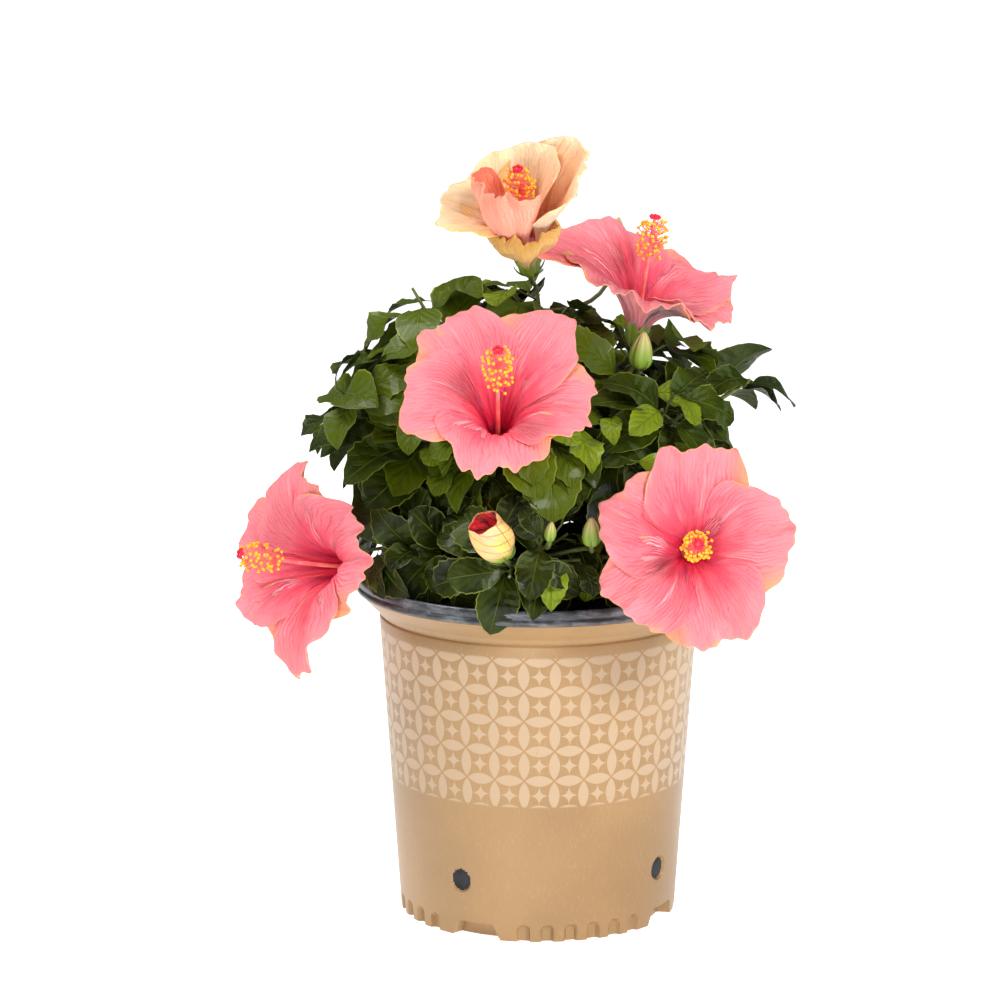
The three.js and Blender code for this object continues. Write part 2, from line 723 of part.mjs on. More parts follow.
// Leaf fits where all of it is in its mass's space, off the limbs, and not through an earlier leaf or a twig
function leafFits(leaf, mass, leaves, twigs) {
  const points = LEAF_TESTS.map(([s, e]) => leafPoint(leaf, s, e));
  if (!points.every((point) => spotIsFree(point, mass))) return false;
  const middle = leafPoint(leaf, 0.5, 0);
  const near = beads.filter(({ point }) => point.distanceTo(middle) < leaf.length * 0.7);
  const spacing = leaf.length * 0.04;
  if (!near.every(({ point, radius }) => points.every((p) => p.distanceTo(point) > radius + spacing))) {
    return false;
  }
  leaf.plates = leafPlates(leaf);
  if (crosses({ lines: twigs }, leaf.plates)) return false;
  return leaves.every((other) => !crosses(leaf.plates, other.plates) && !crosses(other.plates, leaf.plates));
}

function twigFits(curve, mass) {
  return [0.2, 0.4, 0.6, 0.8, 1].every((t) => {
    const point = curve.getPoint(t);
    if (!spotIsFree(point, mass)) return false;
    return beads.every((bead) => bead.point.distanceTo(point) > bead.radius + 1);
  });
}

// Leader of a mass, from its bough's tip to beyond the middle of the mass
function leaderCurve(mass) {
  const bough = limbs.get(mass.name).curve;
  const direction = bough.getTangent(1);
  const start = stepped(bough.getPoint(1), direction, GAP);
  const end = stepped(mass.centre, mass.outward, mass.reach * LEADER.beyond);
  return arc(start, stepped(start, direction, start.distanceTo(end) * 0.45), end);
}

function twigCurve(mass, leader, share, rolls, shrink) {
  const start = leader.getPoint(blend(0.3, 0.96, share));
  const [side, other] = squareTo(mass.outward);
  const turn = radians(GOLDEN_TURN * TWIG.count * share + 40 * rolls[0]);
  const lean = radians(blend(TWIG.widest, TWIG.narrowest, share * share) + 16 * (rolls[1] - 0.5));
  const direction = mass.outward
    .clone()
    .multiplyScalar(Math.cos(lean))
    .addScaledVector(side, Math.sin(lean) * Math.cos(turn))
    .addScaledVector(other, Math.sin(lean) * Math.sin(turn));
  const length = mass.reach * blend(TWIG.shortest, TWIG.longest, rolls[2]) * shrink;
  return new THREE.LineCurve3(start, stepped(start, direction, length));
}

// First version that fits of a thing which can be made smaller or turned, or nothing
function firstFit(tries, make, fits) {
  for (const attempt of tries) {
    const made = make(attempt);
    if (fits(made)) return made;
  }
  return null;
}

const TWIG_TRIES = [1, 0.82, 0.66, 0.5];
const LEAF_TRIES = [1, 0.82, 0.66].flatMap((scale) =>
  [0, 45, -45, 90, -90, 150].map((swing) => [scale, swing]),
);

function growTwigs(mass, leader, roll) {
  const twigs = [];
  for (let k = 0; k < TWIG.count; k++) {
    const share = k / (TWIG.count - 1);
    const rolls = [roll(), roll(), roll()];
    const twig = firstFit(
      TWIG_TRIES,
      (shrink) => twigCurve(mass, leader, share, rolls, shrink),
      (curve) => twigFits(curve, mass),
    );
    if (twig) twigs.push(twig);
  }
  return twigs;
}

function growMass(mass) {
  const roll = dice(mass.seed);
  const leader = leaderCurve(mass);
  const twigs = growTwigs(mass, leader, roll);
  const stems = [leader, ...carriersOf(mass, leader)];
  const stemLines = stems.flatMap((stem) => linesOf(stem, 2));
  const leaves = [];
  twigs.forEach((twig, k) => {
    const others = twigs.filter((other) => other !== twig).flatMap((other) => linesOf(other, 1));
    for (let j = 0; j < LEAF.perTwig; j++) {
      const t = blend(0.3, 0.98, j / (LEAF.perTwig - 1));
      const turn = GOLDEN_TURN * j + 30 * roll() + 60 * k;
      const size = LEAF.length * blend(0.78, 1.1, roll()) * (t > 0.9 ? 0.85 : 1);
      const tilt = [roll() - 0.5, roll() - 0.5, roll() - 0.5];
      const leaf = firstFit(
        LEAF_TRIES,
        ([scale, swing]) => ({
          ...leafFrame(mass, twig, t, radians(turn + swing), tilt),
          length: size * scale,
        }),
        (made) => leafFits(made, mass, leaves, [...stemLines, ...others]),
      );
      if (leaf) leaves.push(leaf);
    }
  });
  return { stems, twigs, leaves };
}

// Leaf: eight faces round a root, a tip, two edges and the middle of the upper and lower side
function leafSolid(leaf) {
  const sunk = TWIG.tipRadius * 0.35;
  return solidOf(
    bent(new THREE.OctahedronGeometry(1, 0), (corner) => {
      const s = corner.x > 0.5 ? 1 : corner.x < -0.5 ? 0 : LEAF.widestAt;
      const place = leafPoint(leaf, s, corner.y).addScaledVector(leaf.up, (corner.z * LEAF.thickness) / 2);
      return s === 0 ? place.addScaledVector(leaf.along, -sunk) : place;
    }),
  );
}

// Twig that carries a flower: it leaves the leader and meets the stalk's foot end to end
function flowerTwig(leader, stalk) {
  const direction = stalk.getTangent(0);
  const end = stepped(stalk.getPoint(0), direction, -GAP);
  const start = [0.35, 0.5, 0.65, 0.8, 0.95]
    .map((t) => leader.getPoint(t))
    .reduce((a, b) => (b.distanceTo(end) < a.distanceTo(end) ? b : a));
  return arc(start, stepped(end, direction, -0.4 * start.distanceTo(end)), end);
}

const carriersOf = (mass, leader) =>
  flowers.filter((flower) => flower.host === mass.name).map((flower) => flowerTwig(leader, flower.stalk));

const limbSolids = new Map([...limbs].map(([name, piece]) => [name, limbSolid(piece)]));
const obstacles = joined([...limbSolids.values(), ...flowers.map((flower) => flower.solid)]);

const touches = (solid) => solid.intersect(obstacles).volume() > 0;

function massSolid({ stems: [leader, ...carriers], twigs, leaves }) {
  const bar = (curve, from, to, rings) => solidOf(limb(curve, taper(from, to), LEADER.sides, rings));
  const stem = bar(leader, LEADER.radius, LEADER.tipRadius, LEADER.rings);
  const arms = carriers.map((curve) => bar(curve, STALK.radius, STALK.radius - 0.2, LEADER.rings));
  const shoots = twigs.map((twig) => bar(twig, TWIG.radius, TWIG.tipRadius, 1));
  const grown = [...shoots, ...leaves.map(leafSolid)].filter((solid) => !touches(solid));
  return mainBody(grownWith(grown, joined([stem, ...arms])));
}

// The part

const finish = (color, roughness, metalness = 0) =>
  new THREE.MeshStandardMaterial({ color, roughness, metalness });

const MATERIALS = {
  tan: finish("#c69e69", 0.55),
  black: finish("#3a3a3e", 0.45),
  soil: finish("#2b2018", 0.95),
  bark: finish("#6b5a3c", 0.8),
  leaf: finish("#35611c", 0.35),
  petal: finish("#f2808f", 0.5),
  peach: finish("#f3b288", 0.5),
  bud: finish("#86a53c", 0.5),
  openBud: finish("#e8c46a", 0.5),
};

const shrub = new THREE.Group();

function addPiece(name, geometry, material) {
  const mesh = new THREE.Mesh(geometry, material);
  mesh.name = name;
  shrub.add(mesh);
}

addPiece("pot", outerPot(), MATERIALS.tan);
addPiece("liner_pot", innerPot(), MATERIALS.black);
addPiece("soil", soilFill(), MATERIALS.soil);

for (const [name, solid] of limbSolids) {
  addPiece(name === "trunk" ? name : "bough_" + name, geometryOf(solid), MATERIALS.bark);
}
for (const mass of masses) {
  addPiece("mass_" + mass.name, geometryOf(massSolid(growMass(mass))), MATERIALS.leaf);
}
for (const flower of flowers) {
  const buds = flower.name === "bud_open" ? MATERIALS.openBud : MATERIALS.bud;
  const petals = flower.name === "bloom_top" ? MATERIALS.peach : MATERIALS.petal;
  addPiece(flower.name, geometryOf(flower.solid), flower.bloom ? petals : buds);
}

export default shrub;
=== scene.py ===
"""Looks of a potted hibiscus shrub in bloom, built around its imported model.

Laid out as an add-on and run as a script. Sizes in the functions are millimetres, Z is up and the shrub's
face looks along -Y. A bearing is an angle in degrees round Z, from -Y towards +X.
"""
from types import SimpleNamespace

import bpy
import numpy as np
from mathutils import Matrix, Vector


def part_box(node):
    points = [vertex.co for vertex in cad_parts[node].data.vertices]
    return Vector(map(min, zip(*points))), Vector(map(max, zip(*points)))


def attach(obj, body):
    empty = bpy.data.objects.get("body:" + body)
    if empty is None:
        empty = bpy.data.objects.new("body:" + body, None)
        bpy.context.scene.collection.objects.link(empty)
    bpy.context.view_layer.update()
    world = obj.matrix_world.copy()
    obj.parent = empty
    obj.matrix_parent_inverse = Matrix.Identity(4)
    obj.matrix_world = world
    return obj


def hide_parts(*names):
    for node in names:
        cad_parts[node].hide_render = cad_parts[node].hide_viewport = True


bl_info = {
    "name": "Potted Hibiscus Shrub",
    "version": (1, 0, 0),
    "blender": (4, 5, 0),
    "location": "View3D > Sidebar > Hibiscus",
    "description": "Makes the visible surfaces of a potted hibiscus shrub around its packed model",
    "category": "Add Mesh",
}

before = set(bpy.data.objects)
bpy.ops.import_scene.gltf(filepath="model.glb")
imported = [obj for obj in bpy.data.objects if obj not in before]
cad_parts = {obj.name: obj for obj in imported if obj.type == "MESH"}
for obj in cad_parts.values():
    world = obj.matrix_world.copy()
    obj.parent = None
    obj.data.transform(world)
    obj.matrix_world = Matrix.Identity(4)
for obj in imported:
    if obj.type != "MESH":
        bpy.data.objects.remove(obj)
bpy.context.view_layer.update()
MM = 0.001
BODY = "root"


def box_top(node):
    """Height of a node's highest corner, in millimetres."""
    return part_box(node)[1].z / MM


def paint(red, green, blue):
    """Scene-linear colour of a screen colour given from 0 to 255."""
    screen = np.array([red, green, blue]) / 255
    linear = np.where(screen <= 0.04045, screen / 12.92, ((screen + 0.055) / 1.055) ** 2.4)
    return tuple(float(value) for value in linear)


# Sizes shared with the model, in millimetres

GAP = 0.3
POT = SimpleNamespace(foot=93, shoulder=107, shoulder_height=204, brim=121, wall=2, floor=4, groove=0.8)
POT.height = box_top("pot")
HOLES = SimpleNamespace(count=4, first=-33, radius=8.5, height=39, recess=1.6)
NOTCHES = SimpleNamespace(count=4, first=-27, top=24, foot=34, height=10, depth=9)
FLUTES = SimpleNamespace(per_side=6, step=9.7, width=8.6, height=12, depth=3)
LIP = SimpleNamespace(radius=122.8, height=10.2)
SOIL = SimpleNamespace(level=206, fall=3.5)
TRUNK = SimpleNamespace(height=44, lean=(-3, 4), top=5.6, foot=6.6, flare=5.2)
BOUGH = SimpleNamespace(root=3, tip=2.1, entry=0.42, swing=0.08, sag=0.06)
HEART = np.array([0, 0, 246.0])

# Printed band on the pot: cells round it, their height, where it starts and ends, and as shares of a cell the
# radius of its circles and the softness of their edges
PRINT = SimpleNamespace(around=32, pitch=20.4, low=94, high=196, radius=0.7071, line=0.02)

# Dice shared with the model: each state is the last one times the factor, modulo 2^31 - 1
DICE = SimpleNamespace(factor=16807, modulus=2**31 - 1, thrown_away=4, first_seed=1201, seed_step=97)

# Leafy masses: name, bearing, distance out, height and reach of the ball that each one fills
MASSES = [
    ("front_low", -10, 84, 254, 60),
    ("right_front_low", 50, 88, 256, 60),
    ("back_right_low", 112, 88, 258, 62),
    ("back_low", 172, 86, 258, 62),
    ("back_left_low", -128, 88, 256, 62),
    ("left_front_low", -68, 88, 254, 60),
    ("front_middle", -12, 66, 322, 62),
    ("left_middle", -82, 96, 326, 66),
    ("right_middle", 62, 84, 326, 64),
    ("back_right_middle", 140, 84, 328, 66),
    ("back_left_middle", -150, 82, 326, 66),
    ("left_top", -88, 60, 378, 60),
    ("right_top", 72, 66, 366, 64),
    ("top", 180, 10, 388, 60),
    ("right_shoot", 88, 126, 350, 50),
]

# Boughs: the mass that each one enters, what it springs from, and how far along that
BOUGHS = [
    ("front_low", "trunk", 0.42),
    ("back_right_low", "trunk", 0.42),
    ("back_left_low", "trunk", 0.42),
    ("right_front_low", "trunk", 0.72),
    ("back_low", "trunk", 0.72),
    ("left_front_low", "trunk", 0.72),
    ("top", "trunk", 1),
    ("front_middle", "top", 0.3),
    ("back_right_middle", "top", 0.3),
    ("back_left_middle", "top", 0.45),
    ("left_middle", "top", 0.22),
    ("right_middle", "top", 0.2),
    ("left_top", "top", 0.7),
    ("right_top", "top", 0.7),
    ("right_shoot", "right_middle", 0.5),
]

# Growth rule: a leader, twigs round it, sprigs on the twigs, and leaves in a spiral on all of them
GOLDEN_TURN = 137.5
LEADER = SimpleNamespace(beyond=0.35, radius=1.9, tip=1.3)
TWIG = SimpleNamespace(count=5, radius=1.5, tip=1.0, shortest=0.5, longest=0.75, widest=92, narrowest=12)
SPRIG = SimpleNamespace(radius=0.9, tip=0.6, reach=0.42, lean=50)
LEAF = SimpleNamespace(widest_at=0.5, fold=0.16, bow=0.09, petiole=0.13, light=(0, -0.25, 0.35), droop=0.22)

# How the tones of leaves are dealt: by chance, and as painted light by place, brighter with height above a
# level and towards the left, darker low and to the right
TONE = SimpleNamespace(chance=1.7, level=300, rise=46, across=500, young=0.6)

# Sizes and turns at which a leaf is tried, the points at which it is tested, and the plate that stands for it
LEAF_SCALES = (1, 0.85, 0.7)
LEAF_SWINGS = (0, 45, -45, 90, -90, 150)
TEST_GRID = np.meshgrid([0.2, 0.32, 0.44, 0.6, 0.78, 0.9, 1], [-1, -0.5, 0, 0.5, 1])
TEST_S, TEST_E = (grid.ravel() for grid in TEST_GRID)
PLATE_S = np.array([0, LEAF.widest_at, 1, LEAF.widest_at, LEAF.widest_at])
PLATE_E = np.array([0, 1, 0, -1, 0])
PLATE_FACES = np.array([[0, 1, 4], [1, 2, 4], [2, 3, 4], [3, 0, 4]])
PLATE_LINES = np.array([[0, 1], [1, 2], [2, 3], [3, 0], [0, 4], [1, 4], [2, 4], [3, 4]])

# Leaf surface: rows along the blade, in pairs that step in and out for the teeth, and corners round it, three
# above and one below
LEAF_ROWS = np.array(
    [0, 0.11, 0.15, 0.2, 0.29, 0.38, 0.41, 0.51, 0.54, 0.64, 0.67, 0.76, 0.79, 0.87, 0.9, 0.955]
)
LEAF_TEETH = np.array([0, 0, 0, 0, 0, 0.35, -0.3, 0.55, -0.5, 0.7, -0.6, 0.9, -0.7, 1.2, -0.9, 0])
LEAF_ACROSS = np.array([1, 0, -1, 0])
LEAF_LAYER = np.array([0, 1, 0, -1])

# Ranges from which each leaf draws how full it is at its foot and its tip, its breadth, and how deep its
# teeth, waves, fold and droop are, and the seed of these draws
RANGE = SimpleNamespace(
    foot=(0.5, 1.05), tip=(0.55, 0.95), breadth=(0.84, 1.08), teeth=(0.02, 0.1), wave=(0.08, 0.3),
    fold=(-0.05, 0.5), droop=(-0.04, 0.24), seed=4051,
)

# A bloom's parts, measured along its axis from the throat
BLOOM = SimpleNamespace(tube=26, tube_radius=4.4, opening=0.25, petal_half=42)
COLUMN = SimpleNamespace(radius=1.6, tip=1.0, bare=0.64)
CALYX = SimpleNamespace(below=7, radius=7.2)
STALK = SimpleNamespace(radius=1.6, straight=12)
BRACTS = 7

# Folds of the bud that is about to open: its petals, their twist in radians and the slant of their lines
SWIRL = SimpleNamespace(petals=5, twist=9, slant=7.162184)

# Colours of each kind of petal: its middle, outer half, veins, rim and throat
PETAL_TONES = {
    "petal": ("petal", "petal_light", "petal_deep", "petal_rim", "throat"),
    "peach petal": ("peach", "peach_light", "peach_deep", "peach_rim", "peach_deep"),
    "blush petal": ("blush", "blush_light", "petal_deep", "blush", "peach_deep"),
    "amber petal": ("amber", "amber", "amber_deep", "peach_rim", "amber_deep"),
}

# Waves of petals: how many, how high, how far each shifts with the petal or bloom, and the power of the share
# along the petal with which it grows
LOBES = ((5.1, 0.028, 1, 0), (11, 0.017, 2, 0), (27, 0.008, 1, 0))
RUFFLES = ((8, 3.6, 1, 3), (17, 2.4, 2, 5), (41, 1, 3, 8))

# Blooms: the mass that carries each, where its stalk and throat are, the way it faces, its petals' length,
# how far their rims curl back, how far forwards leaves may come behind them, and its column's length and
# upward bend. hand tells which side of a petal laps over its neighbour, corner rounds the petals' ends, frill
# scales the ruffles, and pleats and groove are depths of the folds along a petal. A petal has its angle round
# the axis, how far out and how far forwards its rim lies, its width, how much the seams beside it bend
# forwards, how far it is folded outwards along its middle, and how far its belly swells. Loose petals hang
# free of the surface that the others share.
BLOOMS = [
    dict(
        name="bloom_front", host="front_middle", foot=(-20, -74, 322), throat=(-27, -122, 358),
        bearing=0, slope=43, radius=65, curl=10, low=4, column=(50, 14),
        hand=-1, corner=0.27, loose=(), frill=1.1, pleats=0.8, groove=2.6,
        petals=(
            (56, 1.12, 37, 0.96, -6, 0, 0), (122, 1.08, 37, 0.96, -5, -3, 0), (188, 0.99, 32, 1.04, 3, -3, 0),
            (271, 0.82, 23, 1.1, 4, -2, 2), (350, 0.88, 29, 0.88, 5, 4, 0),
        ),
    ),
    dict(
        name="bloom_right", host="right_front_low", foot=(86, -78, 262), throat=(97, -128, 272),
        bearing=3, slope=14, radius=64, curl=6, low=6, column=(42, 3),
        hand=1, corner=0.24, loose=(), frill=1, pleats=0.8, groove=2.6,
        petals=(
            (86, 1.1, 18, 1.06, -4, -2, 0), (150, 0.98, 15, 0.98, 3, 0, 2), (214, 0.99, 18, 1.0, -3, -3, 0),
            (288, 1.03, 16, 1.04, 4, -3, 0), (12, 1.04, 18, 1.08, -2, -3, 2),
        ),
    ),
    dict(
        name="bloom_left", host="left_front_low", foot=(-102, -20, 244), throat=(-143, -38, 243),
        bearing=-65, slope=8, radius=64, curl=6, low=2, column=(57, 5),
        hand=1, corner=0.28, loose=(), frill=1.2, pleats=1.2, groove=6,
        petals=(
            (24, 0.8, -2, 1.15, -4, 0, 0), (108, 1.06, 31, 1.1, -7, -6, 0), (165, 0.88, 40, 0.74, 2, 0, 0),
            (217, 0.93, 40, 0.76, -3, 3, 0), (283, 1.0, 24, 1.1, -8, 8, 0),
        ),
    ),
    dict(
        name="bloom_upper_right", host="right_top", foot=(56, 6, 370), throat=(68, -10, 417),
        bearing=60, slope=80, radius=64, curl=7, low=2, column=(52, 2),
        hand=-1, corner=0.24, loose=(), frill=1, pleats=1, groove=4,
        petals=(
            (66, 1.05, 44, 1.15, -3, -3, 0), (124, 1.3, 33, 0.9, -4, 4, 0), (205, 0.7, 13, 1.0, 4, 0, 3),
            (284, 0.86, -4, 1.0, 5, 0, 3), (338, 1.16, 20, 1.3, -3, -3, 0),
        ),
    ),
    dict(
        name="bloom_top", host="top", foot=(-3, 14, 424), throat=(-9, -15, 459),
        bearing=-10, slope=55, radius=60, curl=3, low=22, column=(50, 6),
        hand=-1, corner=0.28, loose=(3, 4), frill=0.7, pleats=1.5, groove=16,
        petals=(
            (34, 0.7, 64, 1.15, -4, 6, 10), (108, 0.76, 42, 1.15, 0, 0, 4), (184, 0.88, 34, 0.8, -6, 3, 0),
            (240, 0.48, 66, 0.72, 0, 0, 14), (276, 0.36, 24, 0.62, 0, 6, 17),
        ),
    ),
]

# Buds: the mass that carries each, where its stalk and its root are, the way it leans, its length and radius
BUDS = [
    dict(
        name="bud_open", host="front_low", foot=(-20, -116, 262), root=(-23, -128, 268),
        lean=(-0.4, -0.5, 0.8), length=36, radius=13,
    ),
    dict(
        name="bud_side", host="right_top", foot=(60, -34, 366), root=(66, -42, 376),
        lean=(0.1, -0.15, 1), length=26, radius=8.5,
    ),
    dict(
        name="bud_upper", host="top", foot=(46, 48, 418), root=(53, 56, 437),
        lean=(0.05, 0.1, 1), length=26, radius=6.5,
    ),
    dict(
        name="bud_right", host="front_low", foot=(34, -104, 268), root=(33, -118, 274),
        lean=(0, -0.35, 1), length=21, radius=6.8,
    ),
    dict(
        name="bud_small", host="front_low", foot=(4, -114, 272), root=(6, -128, 279),
        lean=(0.1, -0.4, 1), length=15, radius=4,
    ),
]

# Lights, in metres: where each stands and how wide it is, and the point that all of them face
LIGHTS = {"key": ((1.7, -2.0, 1.7), 1.0), "fill": ((-1.3, 0.1, 2.6), 1.4), "front": ((-0.4, -2.3, 0.4), 1.2)}
LIT_POINT = Vector((0, 0, 0.25))

# Where leaves stand thinly: to the right, save on the right shoot, whose twigs have few leaves each, and high
# on the left. A leaf stays there if its chance tilt adds up to less than the number given.
THIN = SimpleNamespace(
    right=90, above=284, kept=0.12, left=-42, higher=392, few=0.25, but="right_shoot", leaves=4, first=0.35
)

# Air that twigs and leaves keep: round the pot's lip, over the soil, behind petals and round buds and bars
KEEP = SimpleNamespace(lip=1.5, over_lip=1.2, over_soil=4, petals=6, rim=1.12, bud=2, bud_ends=3, bar=1.2)
LIMB_BEADS, STALK_BEADS = 36, 24


# Vectors


def unit(vectors):
    """Vectors brought to length one."""
    return vectors / np.linalg.norm(vectors, axis=-1, keepdims=True)


def towards(bearing, slope=0):
    """Direction of a bearing and a slope: (sin b cos s, -cos b cos s, sin s)."""
    turn, climb = np.radians(bearing), np.radians(slope)
    level = np.cos(climb)
    return np.stack([np.sin(turn) * level, -np.cos(turn) * level, np.sin(climb) + 0 * turn], axis=-1)


def square_to(direction):
    """Two directions square to a given one, the first of them level where it can be."""
    up = np.array([0, 1.0, 0]) if abs(direction[2]) > 0.99 else np.array([0, 0, 1.0])
    side = unit(np.cross(up, direction))
    return side, np.cross(direction, side)


def blend(low, high, share):
    """Value at a share of the way from low to high."""
    return low + (high - low) * share


def step(values, low, high):
    """Smooth step from 0 at low to 1 at high: t t (3 - 2 t)."""
    share = np.clip((values - low) / (high - low), 0, 1)
    return share * share * (3 - 2 * share)


def dice(seed):
    """Repeatable run of numbers between 0 and 1: each state is the last one times a factor, modulo a prime,
    and the first few are thrown away."""
    state = seed

    def roll():
        nonlocal state
        state = state * DICE.factor % DICE.modulus
        return state / DICE.modulus

    for _ in range(DICE.thrown_away):
        roll()
    return roll


def once_round(count, whole=2 * np.pi):
    """Evenly spaced angles once round."""
    return np.linspace(0, whole, count, endpoint=False)


def spokes(side, other, turn):
    """Directions at turns from one direction towards another: side cos t + other sin t."""
    return np.cos(turn)[..., None] * side + np.sin(turn)[..., None] * other


def waves(rows, turn, phase, share):
    """Sum of waves: for each row, its height times sin(count turn + shift phase) times share^power."""
    return sum(
        height * np.sin(count * turn + shift * phase) * share**power for count, height, shift, power in rows
    )


def points_at(arc, shares):
    """Points of quadratic arcs: (1 - t)^2 start + 2 t (1 - t) middle + t^2 end."""
    t = np.asarray(shares, float)[:, None]
    start, middle, end = (arc[..., None, i, :] for i in range(3))
    return (1 - t) ** 2 * start + 2 * t * (1 - t) * middle + t * t * end


def headings_at(arc, shares):
    """Directions of quadratic arcs: (1 - t)(middle - start) + t (end - middle), at length one."""
    t = np.asarray(shares, float)[:, None]
    start, middle, end = (arc[..., None, i, :] for i in range(3))
    return unit((1 - t) * (middle - start) + t * (end - middle))


def spot(arc, share):
    """One point of one arc."""
    return points_at(arc, [share])[0]


def heading(arc, share):
    """Direction at one point of one arc."""
    return headings_at(arc, [share])[0]


def arc_of(start, middle, end):
    """Three points as one arc."""
    return np.array([start, middle, end], float)


def straight(start, end):
    """Arc that runs straight from start to end."""
    return arc_of(start, (np.asarray(start) + end) / 2, end)


# Skins: points and faces as whole arrays


def lofted(rings, ends=None):
    """Skins over stacks of rings, an array of items x rows x corners x 3, each closed by a point at both
    ends. Corner k of row r joins corner k + 1 and row r + 1 in a four-sided face, and each end is a fan."""
    items, rows, corners, _ = rings.shape
    if ends is None:
        ends = rings[:, [0, -1]].mean(axis=2)
    points = np.concatenate([rings.reshape(items, -1, 3), ends], axis=1)
    k = np.arange(corners)
    after = (k + 1) % corners
    row = np.arange(rows - 1)[:, None] * corners
    sides = np.stack([row + k, row + after, row + corners + after, row + corners + k], axis=-1).reshape(-1, 4)
    last_row = (rows - 1) * corners
    foot = np.stack([after, k, np.full(corners, rows * corners)], axis=-1)
    head = np.stack([last_row + k, last_row + after, np.full(corners, rows * corners + 1)], axis=-1)
    fans = np.concatenate([foot, head])
    shift = np.arange(items)[:, None, None] * points.shape[1]
    return points.reshape(-1, 3), [(sides + shift).reshape(-1, 4), (fans + shift).reshape(-1, 3)]


def bars(arcs, radii, corners, rows, swell=None):
    """Round bars along arcs: centre(t) + r(t)(cos a across + sin a third). radii has one start and end radius
    for each arc, and swell, if given, is a rows x corners pattern that scales the radius."""
    shares = np.linspace(0, 1, rows)
    centres = points_at(arcs, shares)
    tangents = headings_at(arcs, shares)
    chord = unit(arcs[:, 2] - arcs[:, 0])
    up = np.where(np.abs(chord[:, 2:]) > 0.99, [[0, 1.0, 0]], [[0, 0, 1.0]])
    across = unit(np.cross(up, chord))[:, None, :]
    third = unit(np.cross(tangents, across))
    first = np.cross(third, tangents)
    radius = blend(radii[:, :1], radii[:, 1:], shares)[..., None]
    if swell is not None:
        radius = radius * swell
    out = spokes(first[:, :, None, :], third[:, :, None, :], once_round(corners))
    return lofted(centres[:, :, None, :] + radius[..., None] * out)


def sheet_faces(rows, columns, sheets=1):
    """Four-sided faces of grids of rows x columns points, one after another."""
    index = np.arange(rows * columns).reshape(rows, columns)
    corners = [index[:-1, :-1], index[:-1, 1:], index[1:, 1:], index[1:, :-1]]
    one = np.stack(corners, axis=-1).reshape(-1, 4)
    return (one + np.arange(sheets)[:, None, None] * rows * columns).reshape(-1, 4)


def revolved(profile, columns):
    """Skin of a profile of (radius, height) rows turned round Z: (r sin b, -r cos b, h). Rows of radius 0 at
    the two ends become single points."""
    radius, height = np.array(profile, float).T
    rings = radius[1:-1, None, None] * towards(once_round(columns, 360))
    rings[..., 2] = height[1:-1, None]
    ends = np.array([[0, 0, height[0]], [0, 0, height[-1]]])
    return lofted(rings[None], ends[None])


def merged(skins):
    """Several skins as one, with the face numbers of each moved on past the points before it."""
    points, shift, by_size = [], 0, {}
    for skin_points, skin_faces in skins:
        points.append(skin_points)
        for faces in skin_faces:
            by_size.setdefault(faces.shape[1], []).append(faces + shift)
        shift += len(skin_points)
    return np.concatenate(points), [np.concatenate(group) for group in by_size.values()]


def make_piece(name, skin, slot, nodes, materials, uv=None, shades=None, sharp=60):
    """Puts a skin into a mesh object that rides on the root body and stands for the named nodes.
    uv is a pair for each point, and shades a material number for each face."""
    points, faces = skin
    corners = np.concatenate([group.ravel() for group in faces]).astype(np.int32)
    sizes = np.concatenate([np.full(len(group), group.shape[1]) for group in faces])
    starts = np.concatenate([[0], np.cumsum(sizes)[:-1]]).astype(np.int32)
    mesh = bpy.data.meshes.new(name)
    mesh.vertices.add(len(points))
    mesh.vertices.foreach_set("co", (points * MM).astype(np.float32).ravel())
    mesh.loops.add(len(corners))
    mesh.loops.foreach_set("vertex_index", corners)
    mesh.polygons.add(len(sizes))
    mesh.polygons.foreach_set("loop_start", starts)
    if shades is not None:
        mesh.polygons.foreach_set("material_index", shades.astype(np.int32))
    if uv is not None:
        layer = mesh.uv_layers.new(name="surface")
        layer.data.foreach_set("uv", uv[corners].astype(np.float32).ravel())
    mesh.update(calc_edges=True)
    mesh.shade_smooth()
    mesh.set_sharp_from_angle(angle=np.radians(sharp))
    for material in materials:
        mesh.materials.append(material)
    piece = bpy.data.objects.new(name, mesh)
    bpy.context.scene.collection.objects.link(piece)
    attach(piece, BODY)
    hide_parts(*nodes)
    return piece


# Limbs, written again from the model's rule


def grown_masses():
    """Masses with their centres, outward directions and seeds."""
    made = {}
    for i, (name, bearing, out, up, reach) in enumerate(MASSES):
        centre = towards(bearing) * out
        centre[2] = up
        seed = DICE.first_seed + DICE.seed_step * i
        outward = unit(centre - HEART)
        made[name] = SimpleNamespace(
            name=name, number=i, centre=centre, reach=reach, outward=outward, seed=seed
        )
    return made


def trunk_limb():
    """Trunk: an arc from the soil to the fork, whose radius tapers and flares by (1 - t)^6 at the foot."""
    foot = np.array([0, 0, SOIL.level + GAP])
    top = np.array([*TRUNK.lean, foot[2] + TRUNK.height])
    arc = arc_of(foot, foot + [0, 0, TRUNK.height / 2], top)

    def radius(t):
        return blend(TRUNK.foot, TRUNK.top, t) + TRUNK.flare * (1 - t) ** 6

    return SimpleNamespace(arc=arc, radius=radius)


def bough_arc(share, parent, mass):
    """Bough's arc: it leaves its parent outwards, rises, and points into its mass."""
    start = spot(parent.arc, share)
    if share == 1:
        start = start + heading(parent.arc, 1) * GAP
        goal = mass.centre - [0, 0, mass.reach * BOUGH.entry]
        return arc_of(start, start + heading(parent.arc, 1) * TRUNK.height, goal)
    goal = mass.centre + unit(start - mass.centre) * mass.reach * BOUGH.entry
    level = np.hypot(goal[0] - start[0], goal[1] - start[1])
    outwards = unit((goal - start) * [1, 1, 0])
    middle = (start + goal) / 2 + outwards * level * BOUGH.swing
    middle[2] -= level * BOUGH.sag
    return arc_of(start, middle, goal)


